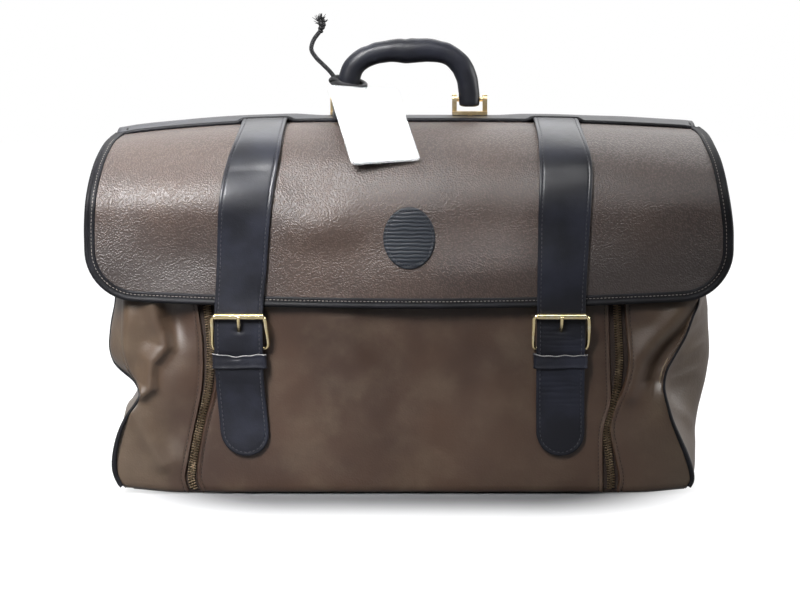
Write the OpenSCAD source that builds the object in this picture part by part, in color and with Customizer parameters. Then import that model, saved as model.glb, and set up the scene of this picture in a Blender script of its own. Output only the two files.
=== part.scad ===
// Travel bag: a stiffened leather body whose front panel drops between two zips, a flap held
// down by two buckled straps, a padded handle on the top and a luggage tag tied to the handle.
// X is the width, the front faces -Y and Z is up. The origin is the middle of the base.

/* [Body] */
// Width over the two end panels
body_w = 500; // [470:1:520]
// Depth of the body, front face to back face
body_d = 208; // [196:1:230]
// Height of the middle of the top panel
body_h = 322; // [312:1:335]
// Height at which the faces start to curve over into the top
shoulder_z = 240; // [230:1:250]
// How far the front shoulder lies below the top, to make room for the flap
front_drop = 9; // [8.5:0.1:12]
// Thickness of the body leather
leather = 3; // [2:0.1:3.5]
// Thickness of the lining cloth
lining_t = 1; // [0.6:0.1:1.4]
// Thickness of the board in the base
board_t = 2.5; // [1.5:0.1:4]
// Thickness of the stiffener under the top panel
stiffener_t = 2.8; // [2:0.1:4]
// Depth of the top panel, from seam to seam
top_d = 57; // [52:0.5:62]
// Thickness of the piping along the end panels
piping_t = 3; // [2:0.1:3.3]
// Radius of the cord in the two top seams
seam_r = 2.6; // [2:0.1:3]

/* [Front panel and zips] */
// Distance from the middle of the bag to the middle of each zip
zip_x = 176; // [172:0.5:186]
// Width of the gap that a zip closes
zip_gap = 18; // [16:0.5:20]
// Height of the front panel's upper edge
panel_top = 192; // [188:0.5:198]
// Width of the binding on the front panel's upper edge
panel_binding_w = 9; // [6:0.5:12]
// Pitch of the zip teeth
tooth_pitch = 3; // [2.5:0.1:4]
// Width of one row of zip teeth
tooth_w = 2.7; // [2.2:0.1:3]
// Thickness of the zip teeth
tooth_t = 3.4; // [3:0.1:3.8]
// Width of a zip slider
slider_w = 11; // [9:0.5:12]
// Height of a zip slider
slider_h = 12; // [10:0.5:14]
// Length of a zip pull
pull_l = 16; // [12:0.5:18]
// Width of a zip pull
pull_w = 7; // [5:0.5:8]

/* [Flap] */
// Width of the flap at its seam
flap_top_w = 518; // [508:1:530]
// Width of the flap half way over the shoulder
flap_mid_w = 542; // [534:1:550]
// Greatest width of the flap
flap_w = 552; // [545:1:565]
// Height at which the flap is widest
flap_wide_z = 232; // [225:1:238]
// Height of the middle of the flap's lower edge
flap_edge_z = 163; // [160:0.5:168]
// How much higher the lower edge is at the sides
flap_rise = 6; // [2:0.5:8]
// Radius of the flap's lower corners
flap_corner_r = 43; // [30:1:50]
// Room between the body's front and the inside of the flap
flap_gap = 5; // [4.6:0.1:6]
// Thickness of the flap leather
flap_t = 2.5; // [2:0.1:3]
// Width of the binding round the flap
binding_w = 7.5; // [6:0.1:9]
// Thickness of the binding
binding_t = 1; // [0.8:0.1:1.4]
// How far the binding stands out past the flap's leather
binding_edge = 2; // [1.5:0.1:3]
// Width of the oval patch
patch_w = 44; // [36:0.5:50]
// Height of the oval patch
patch_h = 52; // [44:0.5:58]
// Height of the middle of the patch
patch_z = 222; // [212:1:230]
// Thickness of the patch
patch_t = 1.5; // [1:0.1:2]

/* [Straps and buckles] */
// Distance from the middle to the left strap, at its buckle
strap_left_x = 144.5; // [138:0.5:146]
// Distance from the middle to the right strap, at its buckle
strap_right_x = 129; // [120:0.5:140]
// Width of a strap
strap_w = 41.5; // [38:0.1:42]
// Thickness of a strap
strap_t = 2.6; // [2:0.1:3]
// Height of the straps' rounded ends
strap_end_z = 34; // [28:1:50]
// How far the left strap leans inward between its buckle and the seam
strap_left_lean = 19; // [0:1:24]
// How far the right strap leans inward between its buckle and the seam
strap_right_lean = 1; // [0:1:10]
// How far the left strap's end lies inward of its buckle
strap_left_end = 5; // [0:1:8]
// How far the right strap's end lies outward of its buckle
strap_right_end = 1; // [0:1:6]
// Height of the buckle's heel bar
heel_z = 127.5; // [122:0.5:130]
// Height from the heel bar to the roller
buckle_h = 28.5; // [24:0.5:31]
// Radius of the buckle's wire
wire_r = 1.75; // [1.4:0.05:2]
// Radius of the buckle's roller
roller_r = 2.75; // [2.3:0.05:3]
// Radius of the bar that the roller turns on
roller_bar_r = 1.4; // [1.1:0.05:1.6]
// Radius of the prong
prong_r = 1.5; // [1.2:0.05:1.8]
// Thickness of the chape leather that holds the heel bar
chape_t = 2; // [1.6:0.1:2.4]
// Length of the chape below the heel bar
chape_l = 35; // [28:1:45]
// Height of a keeper loop
keeper_h = 12; // [9:0.5:13]
// Thickness of a keeper's leather
keeper_t = 1.5; // [1:0.1:2]
// Distance from the heel bar down to the keeper's middle
keeper_drop = 11; // [10.5:0.5:14]

/* [Handle] */
// Distance between the middles of the handle's two legs
handle_span = 108; // [100:1:120]
// Radius of the padded handle
grip_r = 9.8; // [8.5:0.1:9.9]
// Height of the handle's crown above the top panel
handle_h = 68; // [60:1:75]
// Radius of the handle's bends, to the middle of the grip
handle_bend_r = 32; // [26:1:36]
// Radius of the core in the handle
core_r = 6; // [4:0.1:7]
// Inner width of a bracket, between its posts
bracket_in = 23; // [22.5:0.1:26]
// Thickness of a bracket's posts
bracket_t = 4; // [3:0.1:5]
// Thickness of a bracket's base
bracket_base_t = 3; // [2:0.1:4]
// Depth of a bracket's base
bracket_d = 20; // [18:0.5:24]
// Width of a bracket's posts, front to back
post_d = 10; // [8:0.5:12]
// Radius of the pin in a bracket
pin_r = 2; // [1.6:0.1:2.4]
// Radius of the rivets in a bracket
rivet_r = 1.9; // [1.4:0.1:2.2]
// Distance between a bracket's two rivets
rivet_gap = 14; // [13.5:0.5:15]

/* [Luggage tag] */
// Width of the card
card_w = 55; // [50:0.5:58]
// Length of the card
card_l = 88; // [80:0.5:90]
// Thickness of the card
card_t = 0.5; // [0.3:0.1:0.8]
// Rim of the clear sleeve round the card
sleeve_rim = 3; // [2:0.5:4]
// Thickness of the clear sleeve's film
film_t = 0.6; // [0.4:0.1:0.8]
// Radius of the hole that the cord goes through
tag_hole_r = 4.6; // [4.4:0.1:5]
// Angle at which the tag slopes down over the shoulder
tag_slope = 35; // [33:0.5:36]
// Angle by which the tag is turned in its own plane
tag_turn = 12; // [0:0.5:14]
// Radius of the cord
cord_r = 1.8; // [1.5:0.05:2]
// Angle by which the cord's loop hangs lower on its right
loop_tilt = 20; // [18:1:24]

/* [Fits] */
// Gap between layers of leather or cloth
layer_gap = 0.2; // [0.1:0.05:0.3]
// Gap between thin layers on the flap
skin_gap = 0.1; // [0.05:0.05:0.15]
// Clearance round a bar or a strap that has to move
fit = 0.3; // [0.2:0.05:0.4]
// Clearance of a rivet in its hole
hole_fit = 0.1; // [0.05:0.05:0.2]
// Clearance of a roller or a prong round its bar
bar_fit = 0.15; // [0.1:0.01:0.2]

/* [Hidden] */
LEFT = -1;
RIGHT = 1;

$fn = 48;
brown = "#5d4f47";
black = "#17171a";
gold = "#cbb88a";
brass = "#b08f4e";

// Inner faces of the end panels, and half sizes
front_y = body_d / 2;
inner_x = body_w / 2 - leather;
wall_x = inner_x - layer_gap;
top_rise = body_h - shoulder_z;
front_rise = top_rise - front_drop;
seam_y = top_d / 2;
seam_sink = 1;
seam_z = shoulder_z + top_rise * sqrt(1 - pow(seam_y / front_y, 2)) - seam_sink;
foot_z = leather + layer_gap;

// The flap's own curve: its inside, and the height of each layer above it
flap_a = front_y + flap_gap;
flap_sink = 3;
flap_b = top_rise - flap_sink;
flap_mid_z = (seam_z + flap_wide_z) / 2 + 16;
flap_panel_d = lining_t + skin_gap;
flap_top_d = flap_panel_d + flap_t;
binding_d = flap_top_d + skin_gap;
strap_d = binding_d + binding_t + layer_gap;
flap_back_y = seam_y + seam_r + fit;

// The straps' depth in front of the body, from the flap down to the panel
chape_r = wire_r + fit + chape_t;
heel_y = front_y + layer_gap + chape_r;
strap_y = flap_a + strap_d;
roller_y = strap_y + strap_t + fit + roller_r;
buckle_tilt = atan((roller_y - heel_y) / buckle_h);
buckle_l = buckle_h / cos(buckle_tilt);
buckle_half = strap_w / 2 + fit + wire_r;
strap_split_z = flap_edge_z - 2;
keeper_z = heel_z - keeper_drop;
keeper_y = front_y + chape_t + 2 * layer_gap;
tail_heel_y = heel_y + chape_r + layer_gap;
keeper_room = 5.5;
keeper_front = keeper_y + keeper_t + keeper_room;
tail_keeper_y = keeper_front - fit - strap_t;

// Handle
pin_room = 0.8;
pin_z = body_h + layer_gap + bracket_base_t + pin_room + grip_r;
grip_top_z = body_h + handle_h - grip_r;
bracket_w = bracket_in + 2 * bracket_t;
core_from_z = pin_z + 2.5 * pin_r;

// Zips
tape_y = front_y - leather - layer_gap;
tape_t = 1;
tooth_y = tape_y - tape_t / 2;
tooth_in = 0.5;
tooth_back_y = tooth_y - tooth_t / 2;
tape_in = tooth_in + tooth_w + layer_gap;
base_edge_y = tooth_back_y - layer_gap;
tape_hem = 5;
tape_out = zip_gap / 2 + tape_hem;
zip_end = 4;
zip_top = panel_top - zip_end;
slider_z = zip_top - slider_h / 2 - zip_end / 4;
slider_plate = 1.7;
slider_front_y = tooth_y + tooth_t / 2 + fit;
lug_w = 1.8;
lug_hole_r = 0.9;
lug_room = 1.3;
pull_bar_r = 0.7;
pull_t = 1.2;
pull_y = slider_front_y + slider_plate + lug_room;
pull_z = slider_z + slider_h / 6;

// Tag: where it hangs, in front of the handle's left leg
tag_at = [-42.5, -14, 350];
tag_rim = 1.2;
tag_band = 6;
card_fit = 0.15;
sleeve_t = 2 * (film_t + card_fit) + card_t;
sleeve_top = tag_hole_r + tag_rim;
card_from = tag_hole_r + tag_band;
loop_at = [-53, -3, 350];
loop_run = tag_at - loop_at;

// The cord's free end, which stands up beside the handle
cord_points = [
    [-66, -11, 356], [-70, -11, 361], [-76, -11, 367], [-82, -10, 373],
    [-86, -9, 380], [-84, -8, 388], [-79, -7, 395],
];
tassel_at = [-77, -7, 402.6];

// Steps along a curve, in degrees
curve_step = 4;

// One side's sign, distance and leans of a strap
function strap_at(side) = side * (side == LEFT ? strap_left_x : strap_right_x);
function strap_lean(side) = side * -(side == LEFT ? strap_left_lean : strap_right_lean);
function strap_swing(side) = side == LEFT ? strap_left_end : strap_right_end;

function rev(v) = [for (i = [len(v) - 1:-1:0]) v[i]];

// Point of a half ellipse t degrees from its crown, moved outward by d, as [depth, height]
function arch(a, b, t, d) =
    let (n = [sin(t) / a, cos(t) / b])
    [a * sin(t), shoulder_z + b * cos(t)] + d * n / norm(n);

// The angles from the one at depth y down to the vertical face
function arch_angles(a, y) =
    let (from = asin(y / a), n = ceil((90 - from) / curve_step))
    [for (i = [0:n]) from + (90 - from) * i / n];

// A face's path from depth y at the top down to height foot, on side s (-1 front, 1 back)
function face(s, a, b, y, d, foot) = concat(
    [for (t = arch_angles(a, y)) let (p = arch(a, b, t, d)) [s * p[0], p[1]]],
    [[s * (a + d), foot]]
);

// The top panel's path, from depth y0 in front to y1 behind
function crown(y0, y1, d) =
    let (t0 = -asin(y0 / front_y), t1 = asin(y1 / front_y), n = ceil((t1 - t0) / curve_step))
    [for (i = [0:n]) arch(front_y, top_rise, t0 + (t1 - t0) * i / n, d)];

// Outline of the end panels, moved outward by d
function gusset_outline(d) = concat(
    rev(face(-1, front_y, front_rise, seam_y, d, -d)),
    crown(seam_y, seam_y, d),
    face(1, front_y, top_rise, seam_y, d, -d)
);

// Outline of the flap from the front, moved inward by i
function flap_outline(i) =
    let (
        xc = flap_w / 2 - flap_corner_r,
        zc = flap_edge_z + flap_rise + flap_corner_r,
        half = concat(
            [[flap_top_w / 2 - i, body_h + 30], [flap_top_w / 2 - i, seam_z - 4]],
            [[flap_mid_w / 2 - i, flap_mid_z], [flap_w / 2 - i, flap_wide_z]],
            [for (a = [0:-10:-80]) [xc, zc] + (flap_corner_r - i) * [cos(a), sin(a)]],
            [for (x = [1:-0.125:0]) [xc * x, flap_edge_z + i + flap_rise * x * x]]
        )
    )
    concat(half, [for (p = rev(half)) [-p[0], p[1]]]);

// Half ellipse of the patch, seen from the front
function oval(w, h) = [for (a = [0:7.5:352.5]) [w / 2 * cos(a), h / 2 * sin(a)]];

// A strap's middle, as [x, z], from the seam to its end
function strap_middle(side) =
    let (x = strap_at(side), lean = strap_lean(side))
    [
        [x + lean, body_h + 20],
        [x + lean, seam_z],
        [x + lean * 0.45, shoulder_z + 40],
        [x + lean * 0.15, shoulder_z - 20],
        [x, strap_split_z],
        [x, keeper_z - keeper_h],
        [x + strap_swing(side), strap_end_z + strap_w / 2],
    ];

// The inside of a strap's tail, as [y, z], from the flap's edge to its end
tail_path = [
    [-strap_y, strap_split_z - layer_gap],
    [-strap_y, heel_z + buckle_h / 2],
    [-tail_heel_y, heel_z],
    [-tail_heel_y, heel_z - chape_r / 2],
    [-tail_keeper_y, keeper_z + keeper_h / 2],
    [-tail_keeper_y, keeper_z - keeper_h / 2],
    [-front_y - chape_t - 4 * layer_gap, heel_z - chape_l - 4],
    [-front_y - 4 * layer_gap, strap_end_z + 20],
    [-front_y - 4 * layer_gap, strap_end_z - 1],
];

// Ring of the cord's tube at point i, square to the cord there
function cord_ring(points, i, r) =
    let (
        last = len(points) - 1,
        run = points[min(i + 1, last)] - points[max(i - 1, 0)],
        t = run / norm(run),
        flat = [0, 1, 0] - t[1] * t,
        n1 = flat / norm(flat),
        n2 = cross(t, n1)
    )
    [for (k = [0:7]) points[i] + r * (cos(45 * k) * n1 + sin(45 * k) * n2)];

// Solid tube of eight sides along a cord's points
module cord_tube(points, r) {
    n = len(points);
    side = [
        for (i = [0:n - 2]) for (k = [0:7]) let (a = 8 * i + k, b = 8 * i + (k + 1) % 8)
        for (f = [[a, a + 8, b + 8], [a, b + 8, b]]) f
    ];
    ends = [[for (k = [0:7]) k], [for (k = [7:-1:0]) 8 * (n - 1) + k]];
    polyhedron([for (i = [0:n - 1]) for (p = cord_ring(points, i, r)) p], concat(side, ends));
}

// Extrudes an outline given as [y, z] from x0 to x1
module along_x(x0, x1) {
    translate([x0, 0, 0])
        rotate([90, 0, 90])
            linear_extrude(x1 - x0)
                children();
}

// Extrudes an outline given as [x, z] forward from the middle of the bag
module to_front() {
    rotate([90, 0, 0])
        linear_extrude(2 * body_d)
            children();
}

// A bar along X from x0 to x1
module bar(x0, x1, r) {
    translate([x0, 0, 0])
        rotate([0, 90, 0])
            cylinder(h = x1 - x0, r = r);
}

// The space from d0 to d1 above the flap's inside, from depth y down to height foot
module flap_layer(d0, d1, y, foot) {
    along_x(-body_w, body_w)
        polygon(concat(
            face(-1, flap_a, flap_b, y, d1, foot),
            rev(face(-1, flap_a, flap_b, y, d0, foot))
        ));
}

// Box between two corners
module block(low, high) {
    translate(low)
        cube(high - low);
}

// Body

module back_panel() {
    color(brown)
        along_x(-wall_x, wall_x)
            polygon(concat(
                face(1, front_y, top_rise, flap_back_y, 0, foot_z),
                rev(face(1, front_y, top_rise, flap_back_y, -leather, foot_z))
            ));
}

module bottom_panel() {
    color(brown)
        block([-wall_x, -front_y, 0], [wall_x, front_y, leather]);
}

module base_board() {
    x = wall_x - lining_t;
    color("#8a7458")
        block([-x, -base_edge_y, foot_z], [x, base_edge_y, foot_z + board_t]);
}

module rivet_holes() {
    for (x = [-handle_span / 2, handle_span / 2], y = [-rivet_gap / 2, rivet_gap / 2])
        translate([x, y, body_h - 20])
            cylinder(h = 40, r = rivet_r + hole_fit);
}

module top_strip(y, d0, d1) {
    difference() {
        along_x(-wall_x + lining_t, wall_x - lining_t)
            polygon(concat(crown(y, y, d1), rev(crown(y, y, d0))));
        rivet_holes();
    }
}

module top_panel() {
    color(brown)
        top_strip(seam_y - seam_r - fit, -leather, 0);
}

module top_stiffener() {
    color("#8a7458")
        top_strip(seam_y - 5, -leather - layer_gap - stiffener_t, -leather - layer_gap);
}

module gusset(side) {
    color(brown)
        along_x(side == LEFT ? -body_w / 2 : inner_x, side == LEFT ? -inner_x : body_w / 2)
            polygon(gusset_outline(0));
}

module front_side(side) {
    low = side == LEFT ? -wall_x : zip_x + zip_gap / 2;
    color(brown)
        along_x(low, low + wall_x - zip_x - zip_gap / 2)
            polygon(concat(
                face(-1, front_y, front_rise, flap_back_y, 0, foot_z),
                rev(face(-1, front_y, front_rise, flap_back_y, -leather, foot_z))
            ));
}

module back_lining() {
    out = -leather - layer_gap;
    color("#7d7468")
        along_x(-wall_x + lining_t, wall_x - lining_t)
            polygon(concat(
                face(1, front_y, top_rise, flap_back_y, out, foot_z),
                rev(face(1, front_y, top_rise, flap_back_y, out - lining_t, foot_z))
            ));
}

module bottom_lining() {
    x = wall_x - lining_t;
    low = foot_z + board_t + layer_gap;
    color("#7d7468")
        block([-x, -base_edge_y, low], [x, base_edge_y, low + lining_t]);
}

module side_linings() {
    color("#7d7468")
        for (s = [LEFT, RIGHT])
            intersection() {
                along_x(min(s * wall_x, s * (wall_x - 0.8 * lining_t)),
                        max(s * wall_x, s * (wall_x - 0.8 * lining_t)))
                    polygon(gusset_outline(-leather - 2 * layer_gap - lining_t));
                block([-body_w, -body_d, foot_z + board_t], [body_w, body_d, body_h]);
            }
}

module piping(side) {
    x0 = side == LEFT ? -body_w / 2 : body_w / 2 - piping_t;
    color(black)
        along_x(x0, x0 + piping_t) {
            polygon(concat(
                face(-1, front_y, front_rise, flap_back_y + fit, layer_gap + piping_t, 1),
                rev(face(-1, front_y, front_rise, flap_back_y + fit, layer_gap, 1))
            ));
            polygon(concat(
                crown(seam_y - 5, seam_y, layer_gap + piping_t),
                face(1, front_y, top_rise, seam_y, layer_gap + piping_t, 1),
                rev(face(1, front_y, top_rise, seam_y, layer_gap, 1)),
                rev(crown(seam_y - 5, seam_y, layer_gap))
            ));
        }
}

module top_piping() {
    length = body_w / 2 - piping_t - layer_gap;
    color(black)
        for (s = [-1, 1])
            translate([0, s * seam_y, seam_z])
                bar(-length, length, seam_r);
}

// Zips: x is counted outward from the middle of the bag, inner is the front panel's half

module zip_tape(side, half) {
    x0 = zip_x + half * tape_in;
    x1 = zip_x + half * tape_out;
    color("#4e4238")
        block([min(side * x0, side * x1), -tape_y, foot_z + 0.5],
              [max(side * x0, side * x1), -tape_y + tape_t, panel_top]);
}

module zip_teeth(side, half) {
    spine = tooth_w * 0.4;
    count = floor((zip_top - foot_z - 4) / tooth_pitch);
    color(brass)
        translate([side * zip_x, -tooth_y + tooth_t / 2, 0])
            rotate([90, 0, 0])
                linear_extrude(tooth_t)
                    for (z = [0:count]) {
                        x0 = side * half * tooth_in;
                        x1 = side * half * (tooth_in + tooth_w);
                        xs = side * half * (tooth_in + tooth_w - spine);
                        low = foot_z + 2 + z * tooth_pitch;
                        polygon([
                            [xs, low], [xs, low + tooth_pitch * 0.2], [x0, low + tooth_pitch * 0.2],
                            [x0, low + tooth_pitch * 0.8], [xs, low + tooth_pitch * 0.8],
                            [xs, low + tooth_pitch], [x1, low + tooth_pitch], [x1, low],
                        ]);
                    }
}

module zip_slider(side) {
    back_y = tooth_back_y - fit;
    w = slider_w / 2;
    h = slider_h / 2;
    color(brass)
        translate([side * zip_x, 0, 0])
            difference() {
                union() {
                    block([-w, -slider_front_y - slider_plate, slider_z - h],
                          [w, -slider_front_y, slider_z + h]);
                    block([-w, -back_y, slider_z - h], [w, -back_y + slider_plate, slider_z + h]);
                    block([-tooth_in + 0.1, -slider_front_y, slider_z],
                          [tooth_in - 0.1, -back_y, slider_z + h]);
                    block([-lug_w / 2, -pull_y - lug_w, pull_z - 2.2],
                          [lug_w / 2, -slider_front_y - slider_plate, pull_z + 2.2]);
                }
                translate([0, -pull_y, pull_z])
                    bar(-lug_w, lug_w, lug_hole_r);
            }
}

module zip_pull(side) {
    arm = lug_w / 2 + fit;
    color(brass)
        translate([side * zip_x, -pull_y, pull_z]) {
            bar(-pull_w / 2, pull_w / 2, pull_bar_r);
            for (s = [-1, 1])
                block([s == 1 ? arm : -pull_w / 2, -pull_t / 2, -4],
                      [s == 1 ? pull_w / 2 : -arm, pull_t / 2, 0.6]);
            block([-pull_w / 2, -pull_t / 2, -pull_l], [pull_w / 2, pull_t / 2, -3.5]);
        }
}

// Front panel

panel_x = zip_x - zip_gap / 2;

module front_panel() {
    color(brown)
        block([-panel_x, -front_y, foot_z + 0.1], [panel_x, -front_y + leather, panel_top - 3]);
}

module front_panel_lining() {
    x = zip_x - tape_out - layer_gap;
    y = tape_y;
    color("#7d7468")
        block([-x, -y, foot_z + 3], [x, -y + lining_t, panel_top - panel_binding_w - layer_gap]);
}

module front_panel_binding() {
    color(black)
        difference() {
            block([-panel_x, -front_y - layer_gap - binding_t, panel_top - panel_binding_w],
                  [panel_x, -tape_y + tape_t + layer_gap + binding_t, panel_top + binding_t]);
            block([-body_w, -front_y - layer_gap, 0],
                  [body_w, -tape_y + tape_t + layer_gap, panel_top + layer_gap / 2]);
        }
}

module chape(side) {
    half = strap_w / 2 - 4;
    slot = 2 * prong_r + 2 * fit;
    color(black)
        translate([strap_at(side), -heel_y, heel_z])
            difference() {
                union() {
                    bar(-half, half, chape_r);
                    block([-half, chape_r - chape_t, -chape_l], [half, chape_r, 0]);
                }
                bar(-body_w, body_w, wire_r + fit);
                block([-slot / 2 - fit, -2 * chape_r, -2 * chape_r],
                      [slot / 2 + fit, 2 * chape_r, 2 * chape_r]);
            }
}

module keeper(side) {
    half = strap_w / 2 + fit + 0.5;
    x = strap_at(side);
    color(black)
        difference() {
            block([x - half - keeper_t, -keeper_front - keeper_t, keeper_z - keeper_h / 2],
                  [x + half + keeper_t, -keeper_y, keeper_z + keeper_h / 2]);
            block([x - half, -keeper_front, 0], [x + half, -keeper_y - keeper_t, body_h]);
        }
}

// Flap

module flap_panel() {
    color(brown)
        intersection() {
            flap_layer(flap_panel_d, flap_top_d, flap_back_y, 0);
            to_front()
                polygon(flap_outline(binding_edge));
        }
}

module flap_lining() {
    color("#7d7468")
        intersection() {
            flap_layer(0, lining_t, flap_back_y, 0);
            to_front()
                polygon(flap_outline(binding_edge));
        }
}

module flap_binding() {
    color(black)
        union() {
            intersection() {
                flap_layer(0, binding_d + binding_t, flap_back_y, 0);
                to_front()
                    difference() {
                        polygon(flap_outline(0));
                        polygon(flap_outline(binding_edge - skin_gap));
                    }
            }
            intersection() {
                flap_layer(binding_d, binding_d + binding_t, flap_back_y, 0);
                to_front()
                    difference() {
                        polygon(flap_outline(0));
                        polygon(flap_outline(binding_w));
                    }
            }
        }
}

module flap_patch() {
    color("#20262e")
        intersection() {
            flap_layer(binding_d, binding_d + patch_t, flap_back_y, 0);
            to_front()
                translate([0, patch_z])
                    polygon(oval(patch_w, patch_h));
        }
}

// Outline of a strap from the front, with its rounded end
module strap_outline(side) {
    middle = strap_middle(side);
    half = strap_w / 2;
    polygon(concat(
        [for (p = middle) [p[0] - half, p[1]]],
        [for (p = rev(middle)) [p[0] + half, p[1]]]
    ));
    translate(middle[len(middle) - 1])
        circle(half);
}

module strap(side) {
    color(black)
        intersection() {
            flap_layer(strap_d, strap_d + strap_t, flap_back_y + 5, strap_split_z);
            to_front()
                strap_outline(side);
        }
}

module strap_tail(side) {
    color(black)
        difference() {
            intersection() {
                along_x(-body_w / 2, body_w / 2)
                    polygon(concat(tail_path, [for (p = rev(tail_path)) p - [strap_t, 0]]));
                to_front()
                    strap_outline(side);
            }
            block([strap_at(side) - prong_r - fit, -2 * body_d, heel_z - prong_r - fit],
                  [strap_at(side) + prong_r + fit, 0, heel_z + buckle_h - prong_r]);
        }
}

// Buckles: built upright on the heel bar, then tilted so that the roller lies on the strap

module on_buckle(side) {
    translate([strap_at(side), -heel_y, heel_z])
        rotate([buckle_tilt, 0, 0])
            children();
}

module buckle_frame(side) {
    x = buckle_half;
    color(gold)
        on_buckle(side) {
            bar(-x, x, wire_r);
            translate([0, 0, buckle_l])
                bar(-x, x, roller_bar_r);
            for (s = [-1, 1])
                translate([s * x, 0, 0]) {
                    cylinder(h = buckle_l, r = wire_r);
                    sphere(wire_r);
                    translate([0, 0, buckle_l])
                        sphere(wire_r);
                }
        }
}

module buckle_roller(side) {
    half = strap_w / 2 - fit;
    color(gold)
        on_buckle(side)
            translate([0, 0, buckle_l])
                difference() {
                    bar(-half, half, roller_r);
                    bar(-body_w, body_w, roller_bar_r + bar_fit);
                }
}

module buckle_prong(side) {
    eye_r = wire_r + bar_fit + prong_r;
    tip = [0, -roller_r - prong_r - bar_fit, buckle_l + 2];
    root = [0, -eye_r + 0.5, 2];
    run = tip - root;
    color(gold)
        on_buckle(side)
            difference() {
                union() {
                    bar(-prong_r, prong_r, eye_r);
                    translate(root)
                        rotate([atan2(-run[1], run[2]), 0, 0])
                            cylinder(h = norm(run), r = prong_r);
                    translate(tip)
                        sphere(prong_r);
                }
                bar(-body_w, body_w, wire_r + bar_fit);
            }
}

// Handle

// The handle's arch as a round bar: two legs from z0 up, two bends and the grip
module handle_bar(r, z0) {
    bend_z = grip_top_z - handle_bend_r;
    bend_x = handle_span / 2 - handle_bend_r;
    for (s = [-1, 1]) {
        translate([s * handle_span / 2, 0, z0])
            cylinder(h = bend_z - z0, r = r);
        translate([s * bend_x, 0, bend_z])
            rotate([90, 0, 0])
                rotate([0, 0, s == 1 ? 0 : 90])
                    rotate_extrude(angle = 90)
                        translate([handle_bend_r, 0])
                            circle(r);
    }
    translate([0, 0, grip_top_z])
        bar(-bend_x, bend_x, r);
}

module handle_grip() {
    color(black)
        difference() {
            union() {
                handle_bar(grip_r, pin_z);
                for (s = [-1, 1])
                    translate([s * handle_span / 2, 0, pin_z])
                        sphere(grip_r);
            }
            handle_bar(core_r + layer_gap, core_from_z);
            translate([0, 0, pin_z])
                bar(-body_w, body_w, pin_r + fit);
        }
}

module handle_core() {
    color("#9c8a68")
        handle_bar(core_r, core_from_z + layer_gap);
}

module handle_bracket(side) {
    low_z = body_h + layer_gap;
    half = bracket_w / 2;
    color(brass)
        difference() {
            translate([side * handle_span / 2, 0, 0]) {
                block([-half, -bracket_d / 2, low_z],
                      [half, bracket_d / 2, low_z + bracket_base_t]);
                for (s = [-1, 1]) {
                    x0 = s == 1 ? half - bracket_t : -half;
                    block([x0, -post_d / 2, low_z], [x0 + bracket_t, post_d / 2, pin_z]);
                    translate([0, 0, pin_z])
                        bar(x0, x0 + bracket_t, post_d / 2);
                }
            }
            translate([0, 0, pin_z])
                bar(-body_w, body_w, pin_r + hole_fit);
            rivet_holes();
        }
}

module handle_pins() {
    color(gold)
        for (s = [-1, 1])
            translate([s * handle_span / 2, 0, pin_z])
                bar(-bracket_w / 2, bracket_w / 2, pin_r);
}

module bracket_rivets() {
    top = body_h + layer_gap + bracket_base_t;
    under = body_h - leather - stiffener_t - 3 * layer_gap;
    color(gold)
        for (x = [-handle_span / 2, handle_span / 2], y = [-rivet_gap / 2, rivet_gap / 2])
            translate([x, y, 0]) {
                translate([0, 0, under])
                    cylinder(h = top - under, r = rivet_r);
                translate([0, 0, under - 1.2])
                    cylinder(h = 1.2, r = rivet_r + 1.6);
            }
}

// Tag: drawn upright below its hole, then laid over the shoulder

module on_tag() {
    translate(tag_at)
        rotate([tag_slope - 90, 0, 0])
            rotate([0, -tag_turn, 0])
                children();
}

module tag_sleeve() {
    w = card_w / 2 + sleeve_rim;
    foot = -card_from - card_l - sleeve_rim;
    color("#dfe3e4")
        on_tag()
            difference() {
                union() {
                    block([-w, -sleeve_t / 2, foot], [w, sleeve_t / 2, -card_from + tag_band / 3]);
                    block([-w, -film_t, -card_from], [w, film_t, sleeve_top]);
                }
                block([-card_w / 2 - fit, -card_t / 2 - card_fit, -card_from - card_l - fit],
                      [card_w / 2 + fit, card_t / 2 + card_fit, -card_from + fit]);
                translate([0, sleeve_t, 0])
                    rotate([90, 0, 0])
                        cylinder(h = 2 * sleeve_t, r = tag_hole_r);
            }
}

module tag_card() {
    color("#f4f4f2")
        on_tag()
            block([-card_w / 2, -card_t / 2, -card_from - card_l],
                  [card_w / 2, card_t / 2, -card_from]);
}

module tag_cord_loop() {
    color(black)
        translate(loop_at)
            rotate(a = -loop_tilt, v = loop_run)
                rotate_extrude()
                    translate([norm(loop_run), 0])
                        circle(cord_r);
}

module tag_cord_end() {
    color(black)
        cord_tube(cord_points, cord_r);
}

module tag_cord_tassel() {
    color(black)
        translate(tassel_at) {
            sphere(4);
            translate([0, 0, -7])
                cylinder(h = 6, r = cord_r + 0.8);
            cylinder(h = 6, r = 3);
        }
}

back_panel();
bottom_panel();
base_board();
top_panel();
top_stiffener();
gusset(LEFT);  // left_gusset
gusset(RIGHT);  // right_gusset
front_side(LEFT);  // front_side_left
front_side(RIGHT);  // front_side_right
back_lining();
bottom_lining();
side_linings();
piping(LEFT);  // piping_left
piping(RIGHT);  // piping_right
top_piping();
zip_tape(LEFT, 1);  // zip_tape_left_outer
zip_tape(RIGHT, 1);  // zip_tape_right_outer
zip_teeth(LEFT, 1);  // zip_teeth_left_outer
zip_teeth(RIGHT, 1);  // zip_teeth_right_outer
handle_bracket(LEFT);  // handle_bracket_left
handle_bracket(RIGHT);  // handle_bracket_right
handle_pins();
bracket_rivets();
front_panel();
front_panel_lining();
front_panel_binding();
chape(LEFT);  // chape_left
chape(RIGHT);  // chape_right
keeper(LEFT);  // keeper_left
keeper(RIGHT);  // keeper_right
zip_tape(LEFT, -1);  // zip_tape_left_inner
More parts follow.
